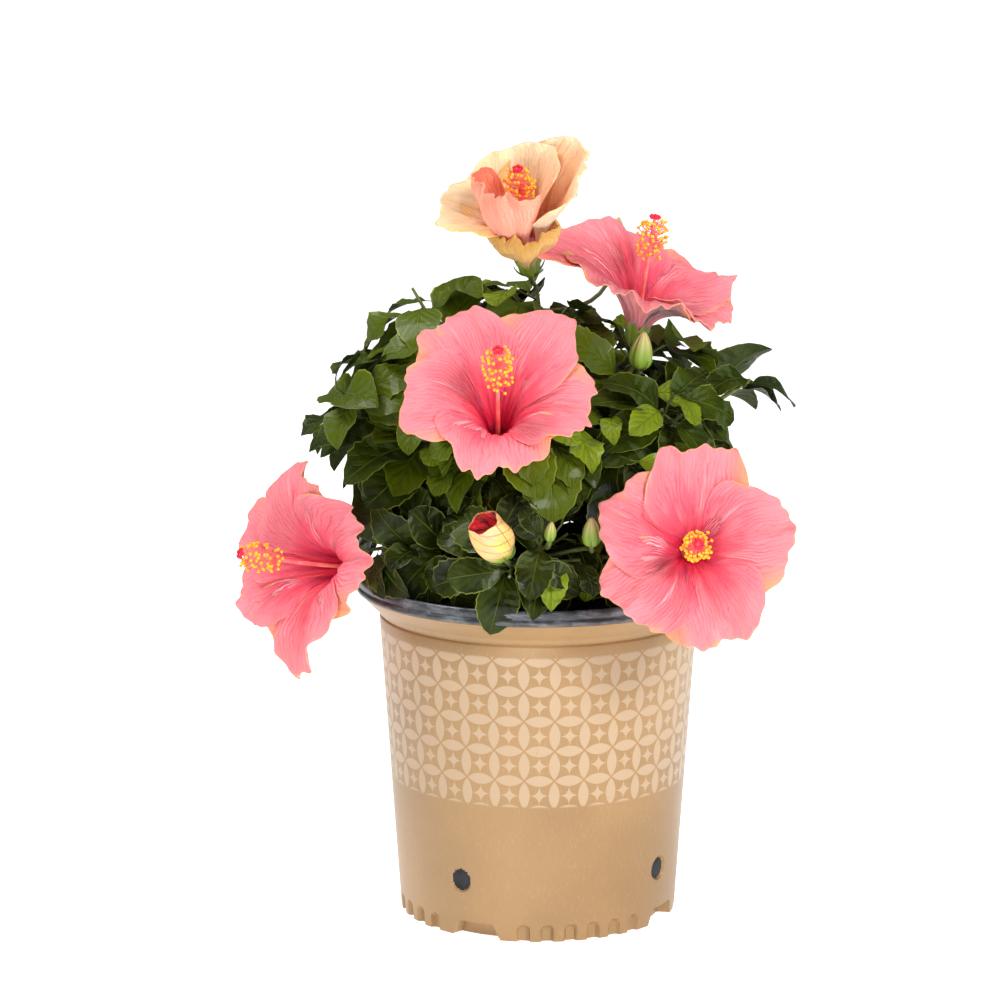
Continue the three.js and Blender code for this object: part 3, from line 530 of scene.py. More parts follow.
def bough_radius(share, parent):
    """Bough's radius along it: an even taper that fits the limb it springs from."""
    if share == 1:
        root, tip = parent.radius(1) - 0.3, BOUGH.tip + 0.4
    else:
        root = min(BOUGH.root, parent.radius(share) - 0.5)
        tip = min(BOUGH.tip, root - 0.4)
    return lambda t: blend(root, tip, t)


def grown_limbs(masses):
    """Trunk and boughs by name."""
    limbs = {"trunk": trunk_limb()}
    for name, parent_name, share in BOUGHS:
        parent = limbs[parent_name]
        limbs[name] = SimpleNamespace(
            arc=bough_arc(share, parent, masses[name]), radius=bough_radius(share, parent)
        )
    return limbs


# Flowers' frames, written again from the model's rule


def climb_at(v):
    """How far along the axis a petal has come at a share v of its length: 1 - (1 - v)^2."""
    return 1 - (1 - v) ** 2


def length_at(spread):
    """Share v of a petal's length at which it has opened by a given share, which is o v + (1 - o) v^2."""
    rest = 1 - BLOOM.opening
    return (np.sqrt(BLOOM.opening**2 + 4 * rest * spread) - BLOOM.opening) / (2 * rest)


def stalk_arc(foot, seat, axis):
    """Stalk from its foot to a flower's seat, which it reaches along the flower's own axis."""
    straight_end = min(STALK.straight, np.linalg.norm(np.subtract(foot, seat)) * 0.45)
    return arc_of(foot, seat - axis * straight_end, seat)


def bloom_frames():
    """Blooms with their throat, axis, right and up directions, seat and stalk."""
    blooms = []
    for row in BLOOMS:
        bloom = SimpleNamespace(**row)
        bloom.throat = np.array(row["throat"], float)
        bloom.axis = towards(bloom.bearing, bloom.slope)
        bloom.right = towards(bloom.bearing + 90)
        bloom.up = np.cross(bloom.axis, bloom.right)
        bloom.seat = bloom.throat + bloom.axis * (1 - BLOOM.tube - CALYX.below)
        bloom.stalk = stalk_arc(bloom.foot, bloom.seat, bloom.axis)
        blooms.append(bloom)
    return blooms


def bud_frames():
    """Buds with their axis and stalk."""
    buds = []
    for row in BUDS:
        bud = SimpleNamespace(**row)
        bud.root = np.array(row["root"], float)
        bud.axis = unit(np.array(row["lean"], float))
        bud.stalk = stalk_arc(bud.foot, bud.root + bud.axis, bud.axis)
        buds.append(bud)
    return buds


# Space that a leaf or twig may take


class Space:
    """Places that leaves and twigs keep to and keep out of."""

    def __init__(self):
        self.masses = grown_masses()
        self.limbs = grown_limbs(self.masses)
        self.blooms = bloom_frames()
        self.buds = bud_frames()
        self.centres = np.array([mass.centre for mass in self.masses.values()])
        self.reaches = np.array([mass.reach for mass in self.masses.values()])
        self.beads, self.bead_radii = self.strung_beads()

    def strung_beads(self):
        """Points along limbs and stalks, each with the distance to keep from it."""
        shares = np.linspace(0, 1, LIMB_BEADS)
        places = [points_at(limb.arc, shares) for limb in self.limbs.values()]
        radii = [limb.radius(shares) for limb in self.limbs.values()]
        shares = np.linspace(0, 1, STALK_BEADS)
        for flower in self.blooms + self.buds:
            places.append(points_at(flower.stalk, shares))
            radii.append(np.full(len(shares), STALK.radius))
        return np.concatenate(places), np.concatenate(radii) + KEEP.bar

    def inside_mass(self, points, mass, shared):
        """Inside the mass's ball and, unless it is shared, on its own side of the plane between it and each
        other ball."""
        away = ((points[..., None, :] - self.centres) ** 2).sum(axis=-1) - self.reaches**2
        mine = away[..., mass.number]
        if shared:
            return mine <= 0
        spans = np.linalg.norm(self.centres - mass.centre, axis=1)
        spans[mass.number] = 1
        own = (away - mine[..., None]) / (2 * spans)
        own[..., mass.number] = np.inf
        return (mine <= 0) & (own > GAP).all(axis=-1)

    @staticmethod
    def clear_of_pot(points):
        """Outside the lip, above it, or inside it and above the soil."""
        radius = np.hypot(points[..., 0], points[..., 1])
        crest = POT.height + GAP + LIP.height
        lowest = np.where(radius < POT.shoulder, SOIL.level + KEEP.over_soil, crest + KEEP.over_lip)
        return (radius > LIP.radius + KEEP.lip) | (points[..., 2] > lowest)

    @staticmethod
    def clear_of_bloom(points, bloom):
        """Behind the petals of a bloom, and out of the air in front of them."""
        offset = points - bloom.throat
        height = offset @ bloom.axis
        radius = np.sqrt(np.maximum(0, (offset**2).sum(axis=-1) - height**2))
        share = np.maximum(0, radius - BLOOM.tube_radius) / bloom.radius
        v = length_at(np.minimum(share, 1))
        back = (BLOOM.tube + bloom.low) * climb_at(v) - bloom.curl * v**6 - BLOOM.tube - KEEP.petals
        back = back - np.where(radius < CALYX.radius + KEEP.bud, CALYX.below, 0)
        return (share > KEEP.rim) | (height < back)

    @staticmethod
    def clear_of_bud(points, bud):
        """Outside the egg round a bud."""
        offset = points - (bud.root + bud.axis * bud.length / 2)
        along = offset @ bud.axis
        aside = np.sqrt(np.maximum(0, (offset**2).sum(axis=-1) - along**2))
        return np.hypot(aside / (bud.radius + KEEP.bud), along / (bud.length / 2 + KEEP.bud_ends)) > 1

    def free(self, points, mass, shared=False):
        """Whether each place is one where this mass may grow."""
        good = self.inside_mass(points, mass, shared) & self.clear_of_pot(points)
        for bloom in self.blooms:
            good &= self.clear_of_bloom(points, bloom)
        for bud in self.buds:
            good &= self.clear_of_bud(points, bud)
        return good

    def off_bars(self, points, margin):
        """Whether each place keeps its distance from every limb and stalk."""
        away = np.linalg.norm(points[..., None, :] - self.beads, axis=-1)
        return (away > self.bead_radii + margin).all(axis=-1)


# Growth


def leader_arc(space, mass):
    """Leader of a mass, from its bough's tip to beyond the middle of the mass."""
    bough = space.limbs[mass.name].arc
    direction = heading(bough, 1)
    start = spot(bough, 1) + direction * GAP
    end = mass.centre + mass.outward * mass.reach * LEADER.beyond
    return arc_of(start, start + direction * np.linalg.norm(end - start) * 0.45, end)


def carrier_arcs(space, mass, leader):
    """Twigs that carry this mass's flowers: each leaves the leader and meets a stalk's foot end to end."""
    arcs = []
    for flower in space.blooms + space.buds:
        if flower.host != mass.name:
            continue
        direction = heading(flower.stalk, 0)
        end = spot(flower.stalk, 0) - direction * GAP
        starts = points_at(leader, [0.35, 0.5, 0.65, 0.8, 0.95])
        away = np.linalg.norm(starts - end, axis=1)
        start = starts[np.argmin(away)]
        arcs.append(arc_of(start, end - direction * 0.4 * away.min(), end))
    return arcs


def shoot(start, axis, lean, turn, length):
    """Straight shoot that leans off an axis: axis cos l + (side cos t + other sin t) sin l."""
    side, other = square_to(axis)
    direction = axis * np.cos(lean) + (side * np.cos(turn) + other * np.sin(turn)) * np.sin(lean)
    return straight(start, start + direction * length)


def twig_fits(space, mass, arc):
    """Whether a twig keeps to its mass's space and off the limbs and stalks."""
    points = points_at(arc, [0.2, 0.4, 0.6, 0.8, 1])
    return bool((space.free(points, mass) & space.off_bars(points, 1)).all())


def first_fit(shrinks, make, fits):
    """First version that fits of a thing that can be made smaller, or nothing."""
    for shrink in shrinks:
        made = make(shrink)
        if fits(made):
            return made
    return None


def grow_twigs(space, mass, leader, roll):
    """Twigs round the leader, by the model's rule and the model's dice."""
    twigs = []
    for k in range(TWIG.count):
        share = k / (TWIG.count - 1)
        rolls = [roll(), roll(), roll()]
        start = spot(leader, blend(0.3, 0.96, share))
        turn = np.radians(GOLDEN_TURN * k * TWIG.count / (TWIG.count - 1) + 40 * rolls[0])
        lean = np.radians(blend(TWIG.widest, TWIG.narrowest, share * share) + 16 * (rolls[1] - 0.5))
        length = mass.reach * blend(TWIG.shortest, TWIG.longest, rolls[2])
        twig = first_fit(
            [1, 0.82, 0.66, 0.5],
            lambda shrink: shoot(start, mass.outward, lean, turn, length * shrink),
            lambda arc: twig_fits(space, mass, arc),
        )
        if twig is not None:
            twigs.append(twig)
    return twigs


def grow_sprigs(space, mass, twigs, count, roll):
    """Finer twigs: the same rule one step on, with each twig as the leader."""
    sprigs = []
    for twig in twigs:
        for i in range(count):
            start = spot(twig, blend(0.25, 0.85, i / max(1, count - 1)))
            turn = np.radians(GOLDEN_TURN * i + 360 * roll())
            lean = np.radians(SPRIG.lean + 24 * (roll() - 0.5))
            length = mass.reach * SPRIG.reach * blend(0.7, 1.2, roll())
            sprig = first_fit(
                [1, 0.8, 0.6, 0.45],
                lambda shrink: shoot(start, heading(twig, 0.5), lean, turn, length * shrink),
                lambda arc: twig_fits(space, mass, arc),
            )
            if sprig is not None:
                sprigs.append(sprig)
    return sprigs


def leaf_frames(mass, root, direction, angle, turns, tilt):
    """Leaf's directions for several turns round its twig: it leaves at an angle, lies over towards the light,
    which is up and out of the mass, and droops a little."""
    away = spokes(*square_to(direction), turns)
    light = unit(root - mass.centre) * 0.5 + mass.outward * 0.6 + tilt * 0.9
    light = unit(light + LEAF.light)
    along = direction * np.cos(angle) + away * np.sin(angle)
    along = along - 0.7 * (along @ light)[:, None] * light - [0, 0, LEAF.droop]
    along = unit(along)
    up = unit(light - (along @ light)[:, None] * along)
    return along, np.cross(up, along), up


def leaf_places(root, along, side, up, length, width, s, e):
    """Places on leaves: root + s L along + e h(s) side + lift up, where h is a lozenge's half width."""
    edge = np.where(s < LEAF.widest_at, s / LEAF.widest_at, (1 - s) / (1 - LEAF.widest_at))
    half = length[:, None] * width * edge / 2
    lift = np.abs(e) * half * LEAF.fold + length[:, None] * LEAF.bow * 4 * s * (1 - s)
    spots = root + (length[:, None] * s)[..., None] * along[:, None]
    return spots + (e * half)[..., None] * side[:, None] + lift[..., None] * up[:, None]


def pierces(lines, faces):
    """Whether any line passes through any three-cornered face: both barycentric shares and the share along
    the line lie between 0 and 1."""
    start = lines[:, None, 0]
    run = lines[:, None, 1] - start
    corner = faces[None, :, 0]
    one = faces[None, :, 1] - corner
    two = faces[None, :, 2] - corner
    cross = np.cross(run, two)
    area = (one * cross).sum(axis=-1)
    area = np.where(np.abs(area) < 1e-9, 1e-9, area)
    offset = start - corner
    first = (offset * cross).sum(axis=-1) / area
    turned = np.cross(offset, one)
    second = (run * turned).sum(axis=-1) / area
    share = (two * turned).sum(axis=-1) / area
    hit = (first > 0) & (second > 0) & (first + second < 1) & (share > 0) & (share < 1)
    return bool(hit.any())


class Foliage:
    """Leaves of the crown, grown one by one, each kept out of the earlier ones and of the twigs."""

    def __init__(self, space, width, arcs):
        self.space = space
        self.width = width
        self.bars = bars_as_lines(arcs)
        self.bar_middles = self.bars.mean(axis=1)
        self.faces = np.empty((0, 4, 3, 3))
        self.lines = np.empty((0, 8, 2, 3))
        self.leaves = []

    def add(self, mass, twig, share, turn, size, tilt, tone):
        """Tries a leaf at smaller sizes and other turns, keeps the first that fits, and says whether one
        did."""
        root, direction = spot(twig.arc, share), heading(twig.arc, share)
        thin = mass.name != THIN.but and root[0] > THIN.right and root[2] > THIN.above
        open_sky = root[0] < THIN.left and root[2] > THIN.higher
        if thin and abs(tilt.sum()) > THIN.kept or open_sky and abs(tilt.sum()) > THIN.few:
            return False
        angle = np.radians(blend(72, 38, share))
        scales = np.repeat(LEAF_SCALES, len(LEAF_SWINGS))
        swings = np.tile(LEAF_SWINGS, len(LEAF_SCALES))
        along, side, up = leaf_frames(mass, root, direction, angle, np.radians(turn + swings), tilt)
        lengths = size * scales
        points = leaf_places(root, along, side, up, lengths, self.width, TEST_S, TEST_E)
        near = np.linalg.norm(self.space.beads - root, axis=1) < size * 1.5
        away = np.linalg.norm(points[:, :, None, :] - self.space.beads[near], axis=-1)
        clear = (away > self.space.bead_radii[near] + lengths[:, None, None] * 0.04).all(axis=(1, 2))
        good = clear & self.space.free(points, mass, shared=True).all(axis=1)
        if not good.any():
            return False
        plates = leaf_places(root, along, side, up, lengths, self.width, PLATE_S, PLATE_E)
        close = np.linalg.norm(self.faces[:, 0, 0] - root, axis=1) < size * 2.2
        bar_close = np.linalg.norm(self.bar_middles - root, axis=1) < size * 1.6
        bar_close[twig.bars] = False
        near_faces, near_lines = self.faces[close].reshape(-1, 3, 3), self.lines[close].reshape(-1, 2, 3)
        near_lines = np.concatenate([near_lines, self.bars[bar_close]])
        for i in np.flatnonzero(good):
            faces, lines = plates[i][PLATE_FACES], plates[i][PLATE_LINES]
            if pierces(near_lines, faces) or pierces(lines, near_faces):
                continue
            self.faces = np.concatenate([self.faces, faces[None]])
            self.lines = np.concatenate([self.lines, lines[None]])
            frame_of_leaf = dict(root=root, along=along[i], side=side[i], up=up[i])
            self.leaves.append(SimpleNamespace(**frame_of_leaf, length=lengths[i], tone=tone))
            return True
        return False

    def spray(self, mass, twig, count, roll, size, first_share):
        """Leaves in a spiral along one twig, smaller at its end. One tone is dealt to the whole spray, by
        chance and as painted light, brighter high up and to the left, and its tip may be young. Gives the
        share of the twig at its last leaf."""
        across, _, height = spot(twig.arc, 1)
        # Painted light and shade: the spray's tone rises with its height and towards the left, on top of
        # chance
        brightness = TONE.chance * roll() + (height - TONE.level) / TONE.rise - across / TONE.across
        tone = int(np.clip(brightness, 0, 2))
        last = 0
        for j in range(count):
            share = blend(first_share, 0.98, j / (count - 1))
            turn = GOLDEN_TURN * j + 30 * roll()
            tip = share > 0.9
            length = size * blend(0.72, 1.12, roll()) * (0.68 if tip else 1)
            tilt = np.array([roll(), roll(), roll()]) - 0.5
            young = tip and roll() < TONE.young
            if self.add(mass, twig, share, turn, length, tilt, 3 if young else tone):
                last = share
        return last


def cut_arc(arc, share):
    """The part of an arc from its start to a share of it, which is an arc again."""
    return arc_of(arc[0], blend(arc[0], arc[1], share), spot(arc, share))


def bars_as_lines(arcs):
    """Arcs as chains of two straight lines each."""
    spots = [points_at(arc, [0, 0.5, 1]) for arc in arcs]
    return np.array([[run[i], run[i + 1]] for run in spots for i in (0, 1)])


def grow_crown(sizes):
    """All masses: their stems, twigs and sprigs as arcs with radii, and their leaves. Twigs get their leaves
    before sprigs do, and each is cut off a little past its last leaf."""
    space = Space()
    stems, plan = [], []
    for mass in space.masses.values():
        roll = dice(mass.seed)
        leader = leader_arc(space, mass)
        carriers = carrier_arcs(space, mass, leader)
        twigs = grow_twigs(space, mass, leader, roll)
        count = 0 if mass.name == "right_shoot" else sizes.sprigs
        sprigs = grow_sprigs(space, mass, twigs + carriers + [leader], count, roll)
        number = len(stems) + 1 + len(carriers)
        plan += [(mass, roll, number + i, i < len(twigs)) for i in range(len(twigs + sprigs))]
        stems += [(leader, LEADER.radius, LEADER.tip)]
        stems += [(arc, STALK.radius, STALK.radius - 0.1) for arc in carriers]
        stems += [(arc, TWIG.radius, TWIG.tip) for arc in twigs]
        stems += [(arc, SPRIG.radius, SPRIG.tip) for arc in sprigs]
    foliage = Foliage(space, sizes.leaf_width, [arc for arc, *_ in stems])
    for mass, roll, number, is_twig in sorted(plan, key=lambda row: not row[3]):
        twig = SimpleNamespace(arc=stems[number][0], bars=[2 * number, 2 * number + 1])
        count, first = (sizes.leaves, 0.25) if is_twig else (sizes.sprig_leaves, 0.2)
        if mass.name == THIN.but:
            count, first = THIN.leaves, THIN.first
        last = foliage.spray(mass, twig, count, roll, sizes.leaf_length / MM, first)
        kept = max(last + 0.02, 0.87 if is_twig and mass.name != THIN.but else 0.05)
        stems[number] = (cut_arc(twig.arc, kept), *stems[number][1:])
    return stems, foliage.leaves


def leaf_skin(leaves, width, roll):
    """Leaf blades with their stalks, and the map and finish of their faces. Half width is L w/2 times
    q^a (1 - q)^b over its own peak, where q runs along the blade, with a step in and out at each tooth. The
    blade folds up along its midrib, bows, waves at its edges, twists and droops at its tip, and the stalk is
    a narrow strip."""
    count = len(leaves)
    root, along, side, up = (
        np.array([getattr(leaf, key) for leaf in leaves])[:, None, None]
        for key in ("root", "along", "side", "up")
    )
    length = np.array([leaf.length for leaf in leaves])[:, None, None]
    chance = np.array([roll() for _ in range(count * 6)]).reshape(6, count, 1, 1)
    ragged, full_foot, sag, folded, full_tip, broad = chance
    s, e, layer = LEAF_ROWS[None, :, None], LEAF_ACROSS[None, None, :], LEAF_LAYER[None, None, :]
    q = np.clip((s - LEAF.petiole) / (1 - LEAF.petiole), 0, 1)
    a, b = blend(*RANGE.foot, full_foot), blend(*RANGE.tip, full_tip)
    peak = (a / (a + b)) ** a * (b / (a + b)) ** b
    teeth = 1 + LEAF_TEETH[None, :, None] * blend(*RANGE.teeth, ragged)
    half = length * width * blend(*RANGE.breadth, broad) * q**a * (1 - q) ** b / peak * teeth / 2
    half = np.maximum(half, 0.7)
    phase = 2 * np.pi * (1.7 * s + sag + 0.2 * e)
    wave = half * blend(*RANGE.wave, ragged) * np.sin(phase) * np.abs(e)
    fold = np.abs(e) * half * blend(*RANGE.fold, folded)
    droop = length * blend(*RANGE.droop, sag)
    bow = length * LEAF.bow * 4 * s * (1 - s) - droop * s**3
    lift = bow + fold + wave + layer * 0.25
    sway = length * 0.1 * (full_tip - 0.5) * s**2
    aside = e * half + sway
    rings = root + (length * s)[..., None] * along + aside[..., None] * side + lift[..., None] * up
    tips = root + length[..., None] * along + sway[:, -1:, :, None] * side - droop[..., None] * up
    foot = rings[:, 0].mean(axis=1) - along[:, 0, 0] * 0.4
    skin = lofted(rings, np.stack([foot, tips[:, 0, 0]], axis=1))
    uv_ring = np.stack(np.broadcast_arrays(s[0], 0.5 + e[0] / 2), axis=-1).reshape(-1, 2)
    uv = np.tile(np.concatenate([uv_ring, [[0, 0.5], [1, 0.5]]]), (count, 1))
    side_is_under = [0, 0, 1, 1]
    shades = np.tile(side_is_under, count * (len(LEAF_ROWS) + 1))
    return skin, uv, shades


# Materials


class Output:
    """What a node of a material being written gives. Sums with it add the nodes that work them out."""

    def __init__(self, finish, socket):
        self.finish = finish
        self.socket = socket

    def __add__(self, other):
        return self.finish.math("ADD", self, other)

    def __sub__(self, other):
        return self.finish.math("SUBTRACT", self, other)

    def __rsub__(self, other):
        return self.finish.math("SUBTRACT", other, self)

    def __mul__(self, other):
        return self.finish.math("MULTIPLY", self, other)

    def __truediv__(self, other):
        return self.finish.math("DIVIDE", self, other)

    def __abs__(self):
        return self.finish.math("ABSOLUTE", self)

    def fraction(self):
        """Part after the point."""
        return self.finish.math("FRACT", self)


def off_middle(value):
    """How far a value from 0 to 1 is from a half."""
    return abs(value - 0.5)


def zigzag(value):
    """How far a value's fraction is from a half: 0.5 at each whole number and 0 between them."""
    return off_middle(value.fraction())


class Finish:
    """A material being written: nodes are added by kind, and their sockets are set or linked in one call."""

    def __init__(self, name, roughness=0.5, **constants):
        self.material = bpy.data.materials.new(name)
        self.material.use_nodes = True
        self.tree = self.material.node_tree
        self.shader = self.tree.nodes["Principled BSDF"]
        self.shader.inputs["Roughness"].default_value = roughness
        for key, value in constants.items():
            self.shader.inputs[key.replace("_", " ")].default_value = value

    def add(self, kind, inputs, *outputs, **settings):
        """Adds a node, with its settings and inputs, and returns the outputs that are asked for."""
        node = self.tree.nodes.new("ShaderNode" + kind)
        for key, value in settings.items():
            setattr(node, key, value)
        for key, value in inputs.items():
            self.put(node.inputs[key], value)
        made = [Output(self, node.outputs[key]) for key in outputs]
        return made if len(made) > 1 else made[0]

    def put(self, socket, value):
        """Links a socket to an output, or sets it to a value."""
        if isinstance(value, Output):
            self.tree.links.new(value.socket, socket)
        elif socket.type == "RGBA" and len(value) == 3:
            socket.default_value = (*value, 1)
        else:
            socket.default_value = value

    def places(self):
        """Object coordinates."""
        return self.add("TexCoord", {}, "Object")

    def surface(self):
        """The piece's own UV map, whole and as two numbers."""
        uv = self.add("UVMap", {}, "UV", uv_map="surface")
        return uv, *self.add("SeparateXYZ", {0: uv}, "X", "Y")

    def math(self, operation, *values):
        """One sum on numbers or outputs."""
        return self.add("Math", dict(enumerate(values)), "Value", operation=operation)

    def larger(self, one, other):
        """Larger of two values."""
        return self.math("MAXIMUM", one, other)

    def noise(self, vector, scale, detail=3.0, roughness=0.5):
        """Noise between 0 and 1 at a scale in cycles a metre, or a unit of the map."""
        inputs = {"Vector": vector, "Scale": scale, "Detail": detail, "Roughness": roughness}
        return self.add("TexNoise", inputs, "Fac")

    def stretch(self, vector, factors):
        """Vector scaled along each axis."""
        return self.add("Mapping", {"Vector": vector, "Scale": factors}, "Vector")

    def span(self, value, low, high, to_low=0.0, to_high=1.0):
        """Value moved smoothly from one range to another, and held at its ends."""
        inputs = {"Value": value, 1: low, 2: high, 3: to_low, 4: to_high}
        return self.add("MapRange", inputs, "Result", interpolation_type="SMOOTHSTEP")

    def mix(self, share, one, other):
        """Colour at a share of the way from one to another."""
        return self.add("Mix", {0: share, 6: one, 7: other}, 2, data_type="RGBA")

    @staticmethod
    def tuple_mix(one, other, share):
        """Fixed colour at a share of the way from one to another."""
        return tuple(blend(a, b, share) for a, b in zip(one, other))

    def colour(self, value):
        """Sets the base colour."""
        self.put(self.shader.inputs["Base Color"], value)

    def relief(self, height, distance):
        """Bump from a height, as deep as a distance in millimetres."""
        inputs = {"Height": height, "Distance": distance * MM, "Strength": 1.0}
        self.put(self.shader.inputs["Normal"], self.add("Bump", inputs, "Normal"))


def tan_plastic(colours):
    """Moulded tan plastic with faint flow marks, and a printed band of interlocked circles in a paler tan."""
    made = Finish("tan plastic", roughness=0.38)
    places = made.places()
    x, y, height = made.add("SeparateXYZ", {0: places}, "X", "Y", "Z")
    turn = made.math("ARCTAN2", x, y)
    cloudy = made.noise(places, 9, detail=5)
    grain = made.noise(made.stretch(places, (1, 1, 0.4)), 700, detail=2)
    base = made.mix(made.span(cloudy, 0.3, 0.75), colours.tan, colours.tan_shade)
    base = made.mix(made.span(grain, 0.5, 0.8) * 0.2, base, colours.tan_light)
    base = made.mix(circle_print(made, turn, height) * 0.85, base, colours.tan_print)
    made.colour(base)
    made.relief(grain * 0.5 + cloudy * 4.0, 0.12)
    return made.material


def circle_print(made, turn, height):
    """Mask of a printed band. Circles sit on the corners of square cells. A spot is printed where two of them
    overlap, which gives the almond shapes of the interlocked-circle pattern, or on a cell's corner, where a
    small four-pointed star stands."""
    across = (turn * (PRINT.around / (2 * np.pi))).fraction()
    up = (height / (PRINT.pitch * MM)).fraction()
    count = None
    for x, y in ((0.0, 0.0), (1.0, 0.0), (0.0, 1.0), (1.0, 1.0)):
        dx = across - x
        dy = up - y
        far = made.math("SQRT", dx * dx + dy * dy)
        inside = made.span(far, PRINT.radius - PRINT.line / 2, PRINT.radius - 2 * PRINT.line)
        count = inside if count is None else count + inside
    aside, above = (made.math("SQRT", 0.5 - off_middle(share)) for share in (across, up))
    star = made.span(aside + above, 0.62, 0.58)
    figure = made.larger(made.span(count, 1.3, 1.7), star)
    worn = made.span(made.noise(made.places(), 240, detail=4), 0.2, 0.36, 0.55)
    low = made.span(height, (PRINT.low - 1) * MM, (PRINT.low + 1) * MM)
    high = made.span(height, (PRINT.high + 1) * MM, (PRINT.high - 1) * MM)
    return figure * (low * high) * worn


def black_plastic(colours):
    """Black plastic, greyed by dust and scuffs on the rolled lip."""
    made = Finish("black plastic", roughness=0.36)
    places = made.places()
    dust = made.noise(made.stretch(places, (1, 1, 3)), 60, detail=6, roughness=0.65)
    made.colour(made.mix(made.span(dust, 0.42, 0.72), colours.black, colours.black_dust))
    made.relief(made.noise(places, 500), 0.1)
    return made.material


def potting_mix(colours):
    """Dark crumbly potting mix."""
    made = Finish("potting mix", roughness=0.95)
    places = made.places()
    crumbs = made.noise(places, 260, detail=6, roughness=0.7)
    made.colour(made.mix(made.span(crumbs, 0.35, 0.7), colours.soil, colours.soil_light))
    made.relief(crumbs, 1.2)
    return made.material


def bark(colours):
    """Grey-brown bark with fine lengthwise cracks and pale dots."""
    made = Finish("bark", roughness=0.8)
    places = made.places()
    streaks = made.noise(made.stretch(places, (1, 1, 0.2)), 420, detail=5, roughness=0.6)
    dots = made.span(made.noise(places, 700, detail=1), 0.66, 0.72)
    tint = made.mix(made.span(streaks, 0.35, 0.7), colours.bark, colours.bark_light)
    made.colour(made.mix(dots * 0.5, tint, colours.bark_dot))
    made.relief(streaks, 0.5)
    return made.material


def green_stem(colours):
    """Smooth green-brown bark of young twigs."""
    made = Finish("green stem", roughness=0.5)
    streaks = made.noise(made.stretch(made.places(), (1, 1, 0.3)), 300, detail=4)
    made.colour(made.mix(made.span(streaks, 0.35, 0.7), colours.stem, colours.stem_shade))
    made.relief(streaks, 0.15)
    return made.material


def leaf_finish(name, colours, base, under=False):
    """Leaf: a plain base colour with paler midrib and side veins and a thin yellow-green edge, all by the
    blade's own map. The upper side is waxy and quilted between its veins, the underside matter and paler."""
    if under:
        made = Finish(name, roughness=0.6, Specular_IOR_Level=0.2)
    else:
        made = Finish(name, roughness=0.36, Specular_IOR_Level=0.12, Coat_Weight=0.1, Coat_Roughness=0.14)
    uv, along, across = made.surface()
    aside = off_middle(across)
    midrib = made.span(aside, 0.03, 0.008)
    slant = along * 6.0 - aside * 4.4
    ripple = zigzag(slant)
    veins = made.span(ripple, 0.06, 0.01) * made.span(aside, 0.46, 0.25)
    blotch = made.noise(made.places(), 48, detail=3)
    tint = made.mix(made.span(blotch, 0.35, 0.75) * 0.35, base, colours.leaf_light)
    lines = made.larger(midrib, veins * 0.4)
    tint = made.mix(lines * 0.45, tint, colours.leaf_vein)
    edge = made.span(aside, 0.46, 0.49) * made.span(along, 0.15, 0.3)
    tint = made.mix(edge * 0.6, tint, colours.leaf_edge)
    tint = made.mix(made.span(along, 0.17, 0.1), tint, colours.stem)
    if under:
        tint = made.mix(0.5, tint, colours.leaf_under)
    made.colour(tint)
    quilt = ripple * made.span(aside, 0.5, 0.1, 0.4, 1.4)
    fine = made.noise(uv, 30, detail=2)
    height = quilt + fine * 0.5 - lines
    made.relief(height, -0.5 if under else 0.7)
    return made.material


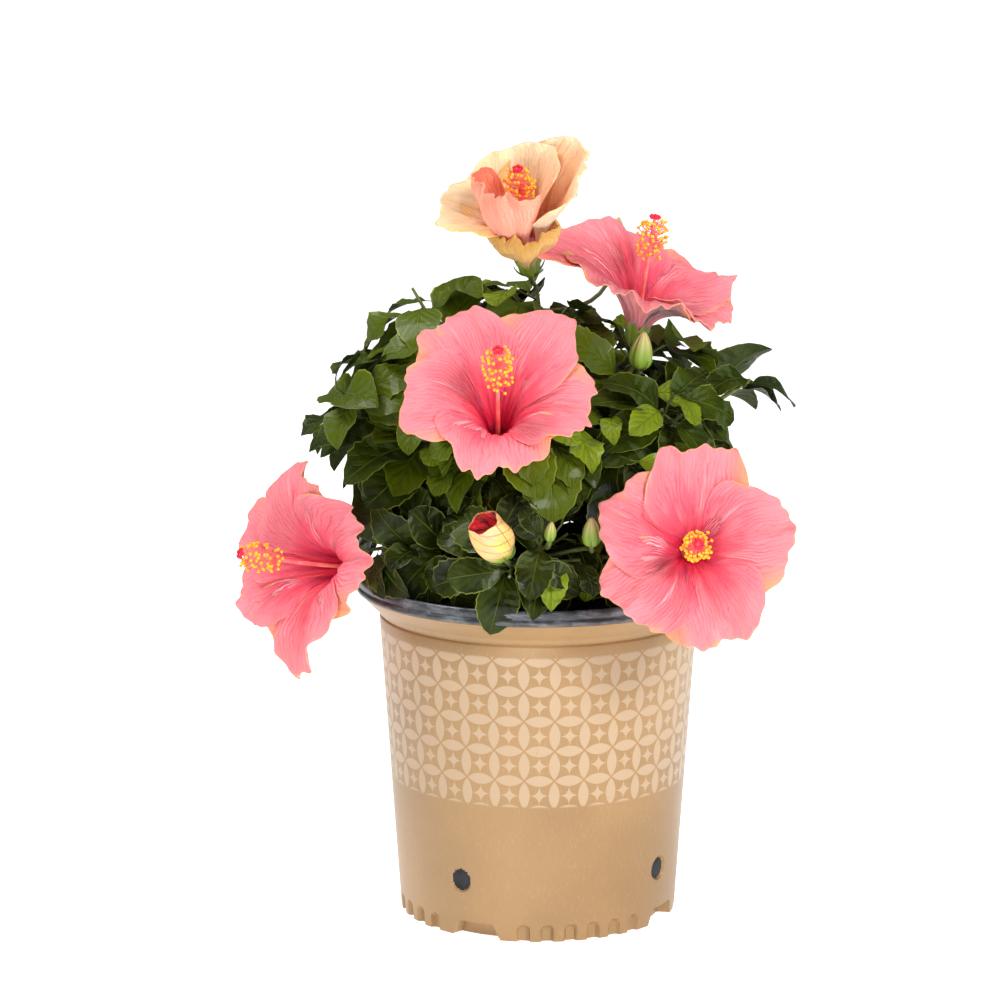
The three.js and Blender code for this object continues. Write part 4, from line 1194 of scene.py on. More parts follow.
def petal_finish(name, tones, reverse=False):
    """Petal: a dark throat that fades to the base colour, dark veins and finer threads fanning along it, pale
    streaks, painted highlight as pale rays on the ridges between the veins of its covered half, a paler outer
    half, and a warm tint at the rim and on the covered side. The reverse has no throat and lets more light
    through; it is paled, most towards its foot, partly its own colour and partly painted light that stands in
    for light shining through. The map's whole number is the petal's, the rest runs across it, and the other
    axis runs along it."""
    base, light, deep, rim, throat = tones
    made = Finish(
        name + " reverse" if reverse else name, roughness=0.6, Specular_IOR_Level=0.12,
        Subsurface_Weight=0.8 if reverse else 0.45, Subsurface_Radius=(1, 0.5, 0.45), Subsurface_Scale=0.005,
    )
    uv, number, along = made.surface()
    across = number.fraction()
    wander = made.noise(made.stretch(uv, (5, 3, 1)), 1.0, detail=4)
    coarse, fine = 31, 83
    ripple = zigzag(number * coarse + wander * 5.0)
    thread = zigzag(number * fine + wander * 17.0)
    broken = made.span(made.noise(made.stretch(uv, (14, 5, 1)), 1.0, detail=3), 0.35, 0.6, 0.35, 1.0)
    veins = made.span(ripple, 0.15, 0.01) * made.span(along, 1.0, 0.7, 0.25, 1.0)
    threads = made.span(thread, 0.22, 0.02) * made.span(along, 0.2, 0.6, 0.1, 0.6)
    clouds = made.noise(made.stretch(uv, (3, 1.6, 1)), 1.7, detail=4)
    streaks = made.noise(made.stretch(uv, (9, 0.8, 1)), 1.3, detail=3)
    tint = made.mix(made.span(along, 0.4, 0.98), base, light)
    tint = made.mix(made.span(clouds, 0.42, 0.68) * 0.6, tint, light)
    pale = made.span(streaks, 0.58, 0.74) * made.span(along, 0.3, 0.6)
    middle = made.span(along, 0.25, 0.5) * made.span(along, 0.9, 0.6)
    # Painted highlight: pale rays on the ridges between the veins, on the covered half of the petal's middle
    ridge_highlight = made.span(across, 0.5, 0.15) * made.span(ripple, 0.26, 0.45) * middle
    pale = made.larger(pale * 0.4, ridge_highlight * 0.6)
    tint = made.mix(pale, tint, made.tuple_mix(light, (1, 0.93, 0.95), 0.65))
    lines = made.larger(veins, threads * 0.6) * broken
    tint = made.mix(lines * 0.72, tint, deep)
    covered = made.span(across, 0.32, 0.06) * made.span(along, 0.5, 0.85)
    patch = made.span(clouds, 0.56, 0.66) * made.span(along, 0.88, 1.0)
    edge = made.span(along, 0.982, 1.0) * 0.7
    warm = made.larger(made.larger(covered, edge), patch)
    tint = made.mix(warm * 0.8, tint, rim)
    if reverse:
        # Painted light: the reverse is paled, most towards its foot, partly its own colour and partly
        # standing in for light shining through the petal
        milky_and_lit = made.tuple_mix(light, (1, 0.78, 0.7), 0.2)
        tint = made.mix(made.span(along, 0.9, 0.3, 0.4, 0.8), tint, milky_and_lit)
    else:
        tint = made.mix(made.span(along, 0.46, 0.22) * 0.62, tint, deep)
        tint = made.mix(made.span(along, 0.26, 0.12) * 0.85, tint, throat)
    made.colour(tint)
    crinkle = made.noise(made.stretch(uv, (26, 9, 1)), 1.0, detail=4)
    ribs = ripple * 0.9 + thread * 0.3
    made.relief(ribs + crinkle * 1.6, 0.6)
    return made.material


def plain_finish(name, one, other, scale, roughness, relief=0.1):
    """Two close tones mixed by noise, with a little relief."""
    made = Finish(name, roughness=roughness)
    noise = made.noise(made.places(), scale, detail=3)
    made.colour(made.mix(made.span(noise, 0.35, 0.68), one, other))
    made.relief(noise, relief)
    return made.material


def sepal_finish(name, colours):
    """Yellow-green sepals: darker ribs along them, and paler towards the tip."""
    made = Finish(name, roughness=0.5)
    _, along, across = made.surface()
    ribs = abs(made.math("SINE", across * (10 * np.pi)))
    tint = made.mix(made.span(along, 0.3, 1.0), colours.sepal, colours.sepal_tip)
    made.colour(made.mix(made.span(ribs, 0.25, 0.0) * 0.6, tint, colours.sepal_rib))
    made.relief(ribs, 0.3)
    return made.material


def swirl_finish(colours):
    """Bud about to open: yellow and peach petals with fine lines and seams, green at the foot, and a crimson
    mouth whose folds carry painted shade in a near-black red."""
    made = Finish("rolled petals", roughness=0.45)
    _, along, across = made.surface()
    clouds = made.noise(made.places(), 90, detail=3)
    tint = made.mix(made.span(clouds, 0.35, 0.65), colours.bud_yellow, colours.bud_peach)
    fold = across * SWIRL.petals + along * SWIRL.slant
    lines = zigzag(fold * 5 + clouds * 2)
    tint = made.mix(made.span(lines, 0.2, 0.02) * 0.25, tint, colours.peach_deep)
    seam = made.span(zigzag(fold), 0.07, 0.0)
    tint = made.mix(seam * 0.4, tint, colours.amber)
    tint = made.mix(made.span(along, 0.3, 0.1), tint, colours.sepal)
    swirl = (across * SWIRL.petals + along * 3).fraction()
    # Painted shade: near-black red in the folds of the mouth, crimson between them
    dark = made.mix(made.span(swirl, 0.15, 0.45), colours.mouth, colours.crimson)
    made.colour(made.mix(made.span(along, 0.655, 0.68), tint, dark))
    made.relief(made.span(swirl, 0.0, 0.1) + (lines - seam), 0.5)
    return made.material


# Settings that a user would change


def colour_setting(name, description, *screen):
    """A colour property, whose default is given as a screen colour."""
    return bpy.props.FloatVectorProperty(
        name=name, description=description, default=paint(*screen), subtype="COLOR", size=3, min=0, max=1
    )


def number_setting(name, description, value, **kind):
    """A number property with its default."""
    return bpy.props.FloatProperty(name=name, description=description, default=value, **kind)


def length_setting(name, description, value):
    """A length property in metres with its default."""
    return number_setting(name, description, value, unit="LENGTH", min=0)


def count_setting(name, description, value, least):
    """A whole number with its default and its least value."""
    return bpy.props.IntProperty(name=name, description=description, default=value, min=least)


class PotColours(bpy.types.PropertyGroup):
    """Colours of the pot and the soil"""

    tan: colour_setting("Tan", "Body of the outer pot", 160, 125, 80)
    tan_shade: colour_setting("Tan shade", "Darker clouds in the outer pot", 142, 109, 69)
    tan_light: colour_setting("Tan light", "Pale grain in the outer pot", 186, 154, 112)
    tan_print: colour_setting("Print", "Printed band on the outer pot", 180, 154, 124)
    black: colour_setting("Black", "Inner pot", 44, 45, 50)
    recess: colour_setting("Recess", "Shade inside the drain holes", 12, 11, 12)
    black_dust: colour_setting("Dust", "Dust on the inner pot", 112, 116, 122)
    soil: colour_setting("Soil", "Potting mix", 30, 22, 17)
    soil_light: colour_setting("Soil light", "Dry crumbs of the potting mix", 74, 56, 42)


class PlantColours(bpy.types.PropertyGroup):
    """Colours of bark, leaves, petals and buds"""

    bark: colour_setting("Bark", "Bark in its cracks", 78, 66, 44)
    bark_light: colour_setting("Bark light", "Bark on its ridges", 124, 108, 78)
    bark_dot: colour_setting("Bark dots", "Pale dots on the bark", 160, 148, 118)
    stem: colour_setting("Stem", "Young twigs", 92, 108, 44)
    stem_shade: colour_setting("Stem shade", "Older twigs", 84, 82, 48)
    # The darkest and brightest leaf tones carry painted shade and painted light as well as chance: dark ones
    # go low and right, bright ones high and left
    leaf_dark_and_shaded: colour_setting("Deep leaf", "Darkest leaves, partly painted shade", 18, 28, 2)
    leaf_mid: colour_setting("Middle leaf", "Most leaves", 38, 51, 3)
    leaf_bright_and_lit: colour_setting("Bright leaf", "Brightest leaves, partly painted light", 74, 89, 7)
    leaf_young: colour_setting("Young leaf", "Leaves at the tips", 116, 134, 22)
    leaf_light: colour_setting("Leaf light", "Pale clouds on leaves", 80, 94, 14)
    leaf_vein: colour_setting("Leaf vein", "Midrib and veins", 100, 114, 40)
    leaf_edge: colour_setting("Leaf edge", "Thin edge of leaves", 140, 148, 54)
    leaf_under: colour_setting("Leaf underside", "Matter side of leaves", 74, 88, 44)
    petal: colour_setting("Petal", "Middle of the petals", 247, 84, 104)
    petal_light: colour_setting("Petal light", "Outer part of the petals", 249, 134, 142)
    petal_deep: colour_setting("Petal deep", "Veins and the ring round the throat", 222, 40, 80)
    petal_rim: colour_setting("Petal rim", "Peach side and rim of the petals", 252, 158, 104)
    throat: colour_setting("Throat", "Throat of the blooms", 238, 30, 74)
    peach: colour_setting("Faded petal", "Middle of the faded petals", 248, 180, 136)
    peach_light: colour_setting("Faded petal light", "Outer part of the faded petals", 254, 212, 170)
    peach_deep: colour_setting("Faded petal deep", "Veins of the faded petals", 246, 146, 108)
    peach_rim: colour_setting("Faded petal rim", "Rim of the faded petals", 246, 176, 96)
    blush: colour_setting("Blush petal", "Pinker petals of the faded bloom", 248, 160, 132)
    blush_light: colour_setting("Light blush", "Outer half of the pinkest faded petals", 242, 134, 108)
    amber: colour_setting("Amber petal", "Rolled petal of the faded bloom", 230, 150, 58)
    amber_deep: colour_setting("Amber shade", "Folds of the rolled petal", 176, 104, 36)
    column: colour_setting("Column", "Column of the blooms", 246, 92, 96)
    column_tip: colour_setting("Column tip", "Upper part of the column", 250, 140, 130)
    anther: colour_setting("Anther", "Anthers", 255, 196, 44)
    anther_deep: colour_setting("Anther shade", "Anthers in shade", 246, 160, 22)
    crimson: colour_setting("Crimson", "Stigma pads and the open bud's mouth", 196, 16, 30)
    # Painted shade in the folds of the open bud's mouth
    mouth: colour_setting("Bud mouth", "Folds inside the open bud", 108, 4, 18)
    bud_yellow: colour_setting("Bud yellow", "Petals of the open bud", 236, 196, 96)
    bud_peach: colour_setting("Bud peach", "Petals of the open bud near its foot", 240, 188, 140)
    sepal: colour_setting("Sepal", "Green buds and calyxes", 120, 148, 40)
    sepal_tip: colour_setting("Sepal tip", "Tips of green buds", 196, 178, 118)
    sepal_rib: colour_setting("Sepal rib", "Ribs of green buds", 84, 116, 28)


class CrownSizes(bpy.types.PropertyGroup):
    """Sizes and counts of the crown"""

    leaf_length: length_setting("Leaf length", "Length of a full leaf with its stalk", 0.072)
    leaf_width: number_setting("Leaf width", "Width of a leaf over its length", 0.64, subtype="FACTOR")
    leaves: count_setting("Leaves", "Leaves on a twig", 10, 2)
    sprigs: count_setting("Sprigs", "Sprigs on a twig", 3, 0)
    sprig_leaves: count_setting("Sprig leaves", "Leaves on a sprig", 6, 2)


class FlowerSizes(bpy.types.PropertyGroup):
    """Sizes and counts of the blooms"""

    thickness: length_setting("Petal thickness", "Thickness of a petal", 0.0005)
    lap: length_setting("Petal lap", "How far a petal rises over its neighbour", 0.0022)
    filaments: count_setting("Filaments", "Anthers on a column", 84, 8)
    filament: length_setting("Filament length", "Length of the longest filament", 0.0115)


class StageSizes(bpy.types.PropertyGroup):
    """Camera, light and floor"""

    distance: length_setting("Camera distance", "From the camera to the point it looks at", 2.8)
    tilt: number_setting("Camera tilt", "How far the camera looks down, in degrees", 11.5)
    aim_left: length_setting("Aim left", "How far left of the pot's axis the camera looks", 0.0257)
    aim_height: length_setting("Aim height", "Height of the point that the camera looks at", 0.2797)
    lens: number_setting("Lens", "Focal length in millimetres", 150.4, unit="CAMERA")
    key: number_setting("Key light", "Power of the key light", 68, unit="POWER")
    fill: number_setting("Fill light", "Power of the fill light", 64, unit="POWER")
    front: number_setting("Front light", "Power of the front light", 19, unit="POWER")
    sky: number_setting("Surroundings", "Strength of the white surroundings", 0.12)
    floor: number_setting("Floor", "Brightness of the pale floor", 0.8)
    glow: number_setting("Floor glow", "Light that the floor gives off", 0.9)


# Pot, inner pot and soil


def nearest_turn(bearings, first, count):
    """Angle in degrees from each bearing to the nearest of some evenly spaced ones."""
    step_angle = 360 / count
    return (bearings - first + step_angle / 2) % step_angle - step_angle / 2


def wall_radius(height):
    """Outer radius of the pot's straight wall: an even taper from foot to shoulder."""
    return blend(POT.foot, POT.shoulder, height / POT.shoulder_height)


def outside_radius(height):
    """Outer radius of the pot at a height: the straight wall, a groove, a small bead and the flared
    collar."""
    above = np.array(height, float) - POT.shoulder_height
    marks = [-1.2, -0.4, 0.4, 1.2, 1.9, 2.8, 4, 8, POT.height - POT.shoulder_height]
    bead, rise = POT.shoulder + 1.0, POT.brim - POT.shoulder
    radii = [
        wall_radius(POT.shoulder_height - 1.2), POT.shoulder - 0.3, POT.shoulder - POT.groove - 0.2,
        POT.shoulder - POT.groove, POT.shoulder + 0.5, bead, bead + 0.4, bead + rise * 0.36, POT.brim,
    ]
    below = wall_radius(above + POT.shoulder_height)
    return np.where(above < marks[0], below, np.interp(above, marks, radii))


def foot_relief(bearings, heights):
    """Depth pressed into the foot at each place: square notches and round-headed flutes between them."""
    turn = nearest_turn(bearings, NOTCHES.first, NOTCHES.count)
    aside = np.abs(np.radians(turn)) * POT.foot
    half = blend(NOTCHES.foot, NOTCHES.top, np.clip(heights / NOTCHES.height, 0, 1)) / 2
    notch = step(half - aside, -0.5, 0.5) * step(NOTCHES.height - heights, -0.5, 0.5)
    middle = nearest_turn(bearings, NOTCHES.first + 180 / NOTCHES.count, NOTCHES.count)
    last = (FLUTES.per_side - 1) / 2
    number = np.clip(np.round(middle / FLUTES.step - 0.5) + 0.5, -last, last)
    x = np.radians(middle - number * FLUTES.step) * POT.foot
    r = FLUTES.width / 2
    arch = FLUTES.height - r + np.sqrt(np.maximum(r * r - x * x, 0))
    flute = step(r - np.abs(x), -0.2, 1.2) * step(arch - heights, -0.2, 1.6)
    return np.maximum(notch * NOTCHES.depth, flute * FLUTES.depth)


def pot_skin(columns):
    """Outer pot: rows round Z of radius R(height) less the foot's relief, then the same wall inside, closed
    on the axis above and below its floor. Points near a drain hole's rim are drawn onto it, and those inside
    it are pressed in. Gives the skin, and whether each face lies in a hole."""
    low = np.arange(0, 52, 0.9)
    collar = POT.shoulder_height + np.array([-1.2, -0.4, 0.4, 1.2, 1.9, 2.8, 4, 6, 8, 12, 15, 16.1])
    heights = np.concatenate([low, np.arange(60, 200, 10), collar])[:, None]
    heights, bearings = np.broadcast_arrays(heights, once_round(columns, 360)[None, :])
    turn = nearest_turn(bearings, HOLES.first, HOLES.count)
    x = np.radians(turn) * wall_radius(HOLES.height)
    z = heights - HOLES.height
    far = np.maximum(np.hypot(x, z), 1e-6)
    pull = np.where(np.abs(far - HOLES.radius) < 0.62, HOLES.radius / far, 1)
    bearings = bearings + np.degrees(x * (pull - 1) / wall_radius(HOLES.height))
    heights = heights + z * (pull - 1)
    hole = far * pull < HOLES.radius - 0.05
    radius = outside_radius(heights) - foot_relief(bearings, heights) - hole * HOLES.recess
    outside = radius[..., None] * towards(bearings)
    outside[..., 2] = heights
    inner = [
        (POT.brim - 0.5, POT.height), (POT.brim - 1.5, POT.height), (POT.brim - POT.wall, POT.height - 0.5),
        (POT.shoulder + 3, POT.shoulder_height + 6), (POT.shoulder - POT.wall, POT.shoulder_height),
        (wall_radius(24) - POT.wall, 24), (wall_radius(18) - 4, 18), (wall_radius(POT.floor) - 10, POT.floor),
    ]
    inner_radius, inner_height = np.array(inner).T
    inside = inner_radius[:, None, None] * towards(bearings[0])
    inside[..., 2] = inner_height[:, None]
    rings = np.concatenate([outside, inside])
    skin = lofted(rings[None], np.array([[[0, 0, 0], [0, 0, POT.floor]]], float))
    pressed = np.zeros(rings.shape[:2], bool)
    pressed[: len(hole)] = hole
    after = np.roll(pressed, -1, axis=1)
    deep = (pressed[:-1] & after[:-1] & pressed[1:] & after[1:]).ravel()
    return skin, np.concatenate([deep, np.zeros(2 * columns, bool)])


def liner_profile():
    """Half outline of the inner pot from the axis under its floor, up the wall, over the rolled lip and
    back to the axis inside."""
    seat = POT.height + GAP
    lip = LIP.radius
    roll = [
        (lip - 4, 0), (lip - 1.2, 0), (lip - 0.4, 0.4), (lip, 1.4), (lip - 0.1, 2.6), (lip - 0.7, 3.5),
        (lip - 1.3, 4.2), (lip - 1.3, 4.9), (lip - 0.9, 5.6), (lip - 0.8, 7.4), (lip - 1.2, 8.8),
        (lip - 1.9, 9.8), (lip - 2.8, LIP.height), (lip - 3.8, 9.9), (lip - 4.5, 8.8), (lip - 5.2, 6),
    ]
    wall = POT.wall + GAP
    return [
        (0, POT.floor + GAP),
        (wall_radius(POT.floor) - 11, POT.floor + GAP),
        (wall_radius(18) - 4.6, 18),
        (wall_radius(24) - wall, 24),
        (POT.shoulder - wall, POT.shoulder_height),
        *[(radius, seat + height) for radius, height in roll],
        (POT.shoulder + 2, POT.shoulder_height + 8),
        (POT.shoulder - wall - 1.8, POT.shoulder_height - 1),
        (POT.foot - 6, 12),
        (0, 12),
    ]


def soil_skin(rows, columns):
    """Soil: polar grid whose height falls to the rim and is roughened by waves of four lengths."""
    share = np.linspace(0.02, 1, rows)[:, None]
    bearings = once_round(columns, 360)
    turn = np.radians(bearings[None, :])
    rim = POT.shoulder - POT.wall - 3
    radius = rim * share
    x, y = radius * np.sin(turn), -radius * np.cos(turn)
    lumps = 0.0
    for size, height in ((41, 1.3), (17, 1.0), (7.3, 0.7), (3.9, 0.4)):
        one, other = x / size * 6.28 + y / size * 2.1 + size, y / size * 5.7 - x / size
        lumps = lumps + height * np.sin(one) * np.sin(other)
    top = np.stack([x, y, SOIL.level - SOIL.fall * share**2 - 1.2 + lumps * (1 - share**8)], axis=-1)
    skirt_radius = np.array([rim, rim - 12])[:, None, None]
    skirt = skirt_radius * towards(bearings)
    skirt[..., 2] = np.array([SOIL.level - 30, 14])[:, None]
    rings = np.concatenate([top, skirt])[::-1]
    return lofted(rings[None], np.array([[[0, 0, 14], [0, 0, SOIL.level - 1]]], float))


def chip_skin(count, seed):
    """Bark chips on the soil: small bars at random spots, turns and sizes."""
    random = np.random.default_rng(seed)
    radius = 96 * np.sqrt(random.random(count))
    bearings = 360 * random.random(count)
    middle = radius[:, None] * towards(bearings)
    middle[:, 2] = SOIL.level - SOIL.fall * (radius / 100) ** 2 - 0.6 + random.random(count) * 1.6
    run = towards(360 * random.random(count), 50 * (random.random(count) - 0.5))
    half = (1.5 + 4.5 * random.random(count) ** 2)[:, None]
    arcs = np.stack([middle - run * half, middle + [0, 0, 0.3], middle + run * half], axis=1)
    radii = np.stack([0.6 + 1.3 * random.random(count), 0.5 + 1.1 * random.random(count)], axis=1)
    return bars(arcs, radii, corners=5, rows=3)


# Bark, twigs and leaves


def limb_skin(limb, rows, corners, foot=False):
    """Limb with bark: radius(t) times 1 + ridges along it, rings at the old leaf scars and, on the trunk,
    buttresses at the foot."""
    t = np.linspace(0, 1, rows)[:, None]
    angles = once_round(corners)[None, :]
    length = np.linalg.norm(limb.arc[2] - limb.arc[0])
    ridges = 0.035 * np.sin(5 * angles + 7 * t) + 0.025 * np.sin(9 * angles - 11 * t + 1) * np.sin(40 * t)
    scars = 0.09 * np.exp(-(((t * length + 5) % 15 - 7.5) ** 2) / 1.6)
    buttress = 0.16 * np.sin(4 * angles + 1) * (1 - t) ** 5 if foot else 0
    swell = (limb.radius(t) / limb.radius(0.0)) * (1 + ridges + scars + buttress)
    radii = np.full((1, 2), float(limb.radius(0.0)))
    return bars(limb.arc[None], radii, corners, rows, swell[None])


def all_leaf_nodes():
    """Names of the nodes that leaves and twigs stand for."""
    return ["mass_" + name for name, *_ in MASSES]


# Blooms and buds


def around_bloom(bloom, turns):
    """Reach, rise and bend of a bloom's shared surface at turns round its axis, eased from each petal's
    values to the next one's, and how near each turn is to the seam between them, from 0 to 1."""
    rows = np.array(sorted(row for k, row in enumerate(bloom.petals) if k not in bloom.loose))
    rows = np.concatenate([rows[-1:], rows, rows[:1]])
    rows[0, 0] -= 360
    rows[-1, 0] += 360
    turns = turns % 360
    index = np.clip(np.searchsorted(rows[:, 0], turns, side="right") - 1, 0, len(rows) - 2)
    share = (turns - rows[index, 0]) / (rows[index + 1, 0] - rows[index, 0])
    eased = step(share, 0, 1)
    reach, rise, bend = (blend(rows[index, c], rows[index + 1, c], eased) for c in (1, 2, 4))
    return reach, rise, bend, 4 * share * (1 - share)


def petal_grid(bloom, k, rows, columns, lap):
    """Petal k on a grid, with u across it and v along it. It lies on the bloom's shared surface, radius r(v)
    out and height h(v) forwards, both of which change with the turn round the axis, and its rim is lobed and
    round at its corners. Ruffles and crumples belong to that surface, pleats, a groove and a fold to the
    petal, and one of its edges lies above and the other below, so that petals lap and don't cross. All these
    stand out square to the surface, whose slant is that of rise over reach."""
    v = np.linspace(0, 1, rows)[:, None]
    u = np.linspace(-1, 1, columns)[None, :]
    angle, reach, rise, width, bend, fold, belly = bloom.petals[k]
    seed = 2.4 * k + bloom.radius + bloom.bearing
    along = v * (1 - (bloom.corner * np.abs(u) ** 3.5 - waves(LOBES, u, seed, v)) * v**2)
    opened = 0.42 * along + 0.58 * along**2
    half = blend(3.6, BLOOM.petal_half * width, step(along, -0.05, 0.85) ** 1.25)
    around = u * half / (BLOOM.tube_radius + (bloom.radius * reach - BLOOM.tube_radius) * opened)
    turns = angle + np.degrees(around)
    between = 0
    if k not in bloom.loose:
        reach, rise, bend, between = around_bloom(bloom, turns)
    radius = BLOOM.tube_radius + (bloom.radius * reach - BLOOM.tube_radius) * opened
    turn, phase = np.radians(turns), bloom.radius + bloom.slope
    ruffle = bloom.frill * waves(RUFFLES, turn, phase, along)
    ring = np.sin(0.33 * radius + 2.2 * np.sin(5 * turn + phase))
    crumple = np.sin(29 * turn + 3 * np.sin(4 * turn)) * ring
    own = bloom.pleats * np.sin(17 * u + seed) * np.sin(np.pi * along)
    own = own - bloom.groove * np.exp(-((u / 0.16) ** 2)) * along * (1 - along)
    relief = ruffle + 0.8 * crumple * along**1.5 + own * (1 - u * u) ** 2 + bloom.hand * lap * u * along**1.4
    slant = np.arctan2(rise, bloom.radius * reach - BLOOM.tube_radius)
    rest = np.maximum(0, 1 - along)
    height = rise * (1 - rest**1.25) - BLOOM.tube * rest**4 + bend * between * along**2
    height = height - bloom.curl * along**5 * (1 - 0.5 * between) + relief * np.cos(slant)
    radius = radius + fold * (1 - np.abs(u)) * along + belly * (1 - u**4) * np.sin(np.pi * along)
    radius = radius + 0.4 * bloom.hand * u * (1 - along) ** 2 - relief * np.sin(slant)
    out = spokes(bloom.right, bloom.up, turn)
    points = bloom.throat + radius[..., None] * out + height[..., None] * bloom.axis
    across = blend(0.001, 0.999, 0.5 + bloom.hand * u / 2)
    uv = np.stack(np.broadcast_arrays(k + across, v), axis=-1)
    return points.reshape(-1, 3), uv.reshape(-1, 2)


def column_arc(bloom):
    """Staminal column: it leaves along the axis and bends up towards its head."""
    length, rise = bloom.column
    tip = bloom.throat + bloom.axis * length + [0, 0, rise]
    return arc_of(bloom.throat - bloom.axis * BLOOM.tube, bloom.throat + bloom.axis * length * 0.3, tip)


def filament_arcs(column, count, longest, seed):
    """Filaments in a spiral round the upper column, longest in the middle of the brush and bent forwards."""
    random = np.random.default_rng(seed)
    share = blend(COLUMN.bare, 0.97, np.linspace(0, 1, count) ** 0.9)
    start = points_at(column, share)
    forward = headings_at(column, share)
    turn = np.radians(GOLDEN_TURN * np.arange(count)) + 0.8 * random.random(count)
    out = spokes(*square_to(forward[0]), turn)
    swell = 0.55 + 0.45 * np.sin(np.pi * np.linspace(0.1, 0.95, count))
    length = (longest * swell * blend(0.7, 1.08, random.random(count)))[:, None]
    middle = start + out * length * 0.5 + forward * length * 0.05
    end = start + out * length * 0.88 + forward * length * blend(0.1, 0.7, random.random(count))[:, None]
    return np.stack([start, middle, end], axis=1)


def stigma_arcs(column):
    """Five short branches that spread from the column's tip."""
    tip, forward = spot(column, 1), heading(column, 1)
    out = spokes(*square_to(forward), np.radians(72 * np.arange(5) + 20))
    middle = tip + forward * 1.6 + out * 0.5
    return np.stack([np.repeat(tip[None], 5, axis=0), middle, tip + forward * 2.6 + out * 2.5], axis=1)


def beads_skin(centres, directions, across, along, corners, rows):
    """Egg-shaped beads: radius across sin(pi t), placed at -along cos(pi t) on their own direction."""
    t = np.linspace(0, 1, rows + 2)[1:-1]
    up = np.where(np.abs(directions[:, 2:]) > 0.99, [[0, 1.0, 0]], [[0, 0, 1.0]])
    side = unit(np.cross(up, directions))[:, None, None]
    other = np.cross(directions, side[:, 0, 0])[:, None, None]
    out = spokes(side, other, once_round(corners)) * (across * np.sin(np.pi * t))[None, :, None, None]
    rise = -(along * np.cos(np.pi * t))[None, :, None, None] * directions[:, None, None]
    rings = centres[:, None, None] + out + rise
    ends = np.stack([centres - directions * along, centres + directions * along], axis=1)
    return lofted(rings, ends)


def turned_body(root, axis, radii, heights, lobes, depth, twist, corners):
    """Body round an axis: radius r(h) times 1 + depth cos(lobes a + twist h). Returns its skin and its map,
    with the share along it and the turn round it."""
    angles = once_round(corners)[None, :]
    share = np.linspace(0, 1, len(heights))[:, None]
    radius = np.array(radii)[:, None] * (1 + depth * np.cos(lobes * angles + twist * share))
    out = spokes(*square_to(axis), angles)
    rings = root + radius[..., None] * out + np.array(heights)[:, None, None] * axis
    ends = np.array([[root + axis * heights[0], root + axis * heights[-1]]])
    uv = np.stack(np.broadcast_arrays(share, angles / (2 * np.pi)), axis=-1).reshape(-1, 2)
    return lofted(rings[None], ends), np.concatenate([uv, [[0, 0], [1, 0]]])


def calyx_skin(bloom):
    """Calyx: a ribbed cup round the tube that ends in five points, with an inner side a little within."""
    base = bloom.throat - bloom.axis * BLOOM.tube
    points, corners = 5, 40
    heights = np.array([-7, -6, -4, -1, 2, 5, 8, 11, 14, 13.6, 11, 8, 5, 2, -1])
    radii = [2.6, 4.4, 6.0, 7.0, 7.4, 7.7, 8.0, 8.3, 8.7, 8.2, 7.6, 7.1, 6.6, 5.9, 4.8]
    skin, uv = turned_body(base, bloom.axis, radii, heights, points, depth=0.05, twist=0, corners=corners)
    rings = skin[0][:-2].reshape(len(heights), corners, 3)
    drop = 7.5 * (np.abs(once_round(corners, points) % 1 - 0.5) * 2) ** 1.3
    rings -= (step(heights[:, None], 2, 14) * drop)[..., None] * bloom.axis
    return skin, uv


def bract_arcs(root, axis, length, seat_radius):
    """Narrow bracts under a calyx, that spread and then turn up."""
    out = spokes(*square_to(axis), np.radians(360 / BRACTS * np.arange(BRACTS) + 12))
    start = root + out * seat_radius * 0.5
    middle = root + out * seat_radius * 1.3 + axis * length * 0.3
    return np.stack([start, middle, root + out * seat_radius * 1.55 + axis * length], axis=1)


def make_stalk(flower, bracts, thickness, widening, rows, stem):
    """Stalk that widens towards its flower, and the bracts that taper from a thickness, as one piece."""
    leaflets = bars(bracts, np.tile([thickness], (BRACTS, 1)), corners=5, rows=6)
    radii = np.array([[STALK.radius, STALK.radius + widening]])
    stalk = bars(flower.stalk[None], radii, corners=10, rows=rows)
    make_piece(flower.name + "_stalk", merged([stalk, leaflets]), "green_bud", [flower.name], [stem])


# Operators


def settings(context, name):
    """One group of settings of the scene."""
    return getattr(context.scene, "hibiscus_" + name)


class MakePot(bpy.types.Operator):
    """Make the tan pot, the black inner pot and the soil with its chips"""

    bl_idname = "hibiscus.make_pot"
    bl_label = "Make Pot"

    def execute(self, context):
        colours = settings(context, "pot_colours")
        tan, black, mix = tan_plastic(colours), black_plastic(colours), potting_mix(colours)
        dark = plain_finish("dark recess", colours.recess, colours.black, 60, 0.8)
        skin, deep = pot_skin(columns=600)
        make_piece("outer_pot", skin, "pot_plastic", ["pot"], [tan, dark], shades=deep, sharp=50)
        liner = revolved(liner_profile(), columns=200)
        make_piece("inner_pot", liner, "liner_plastic", ["liner_pot"], [black], sharp=50)
        make_piece("soil_bed", soil_skin(rows=44, columns=160), "potting_mix", ["soil"], [mix])
        make_piece("soil_chips", chip_skin(count=900, seed=11), "potting_mix", ["soil"], [mix])
        return {"FINISHED"}


class MakeLimbs(bpy.types.Operator):
    """Make the trunk and boughs with their bark"""

    bl_idname = "hibiscus.make_limbs"
    bl_label = "Make Trunk and Boughs"

    def execute(self, context):
        limbs = grown_limbs(grown_masses())
        skins = [limb_skin(limb, rows=60, corners=24, foot=name == "trunk") for name, limb in limbs.items()]
        nodes = ["trunk"] + ["bough_" + name for name, *_ in BOUGHS]
        material = bark(settings(context, "plant_colours"))
        make_piece("trunk_and_boughs", merged(skins), "bark", nodes, [material])
        return {"FINISHED"}


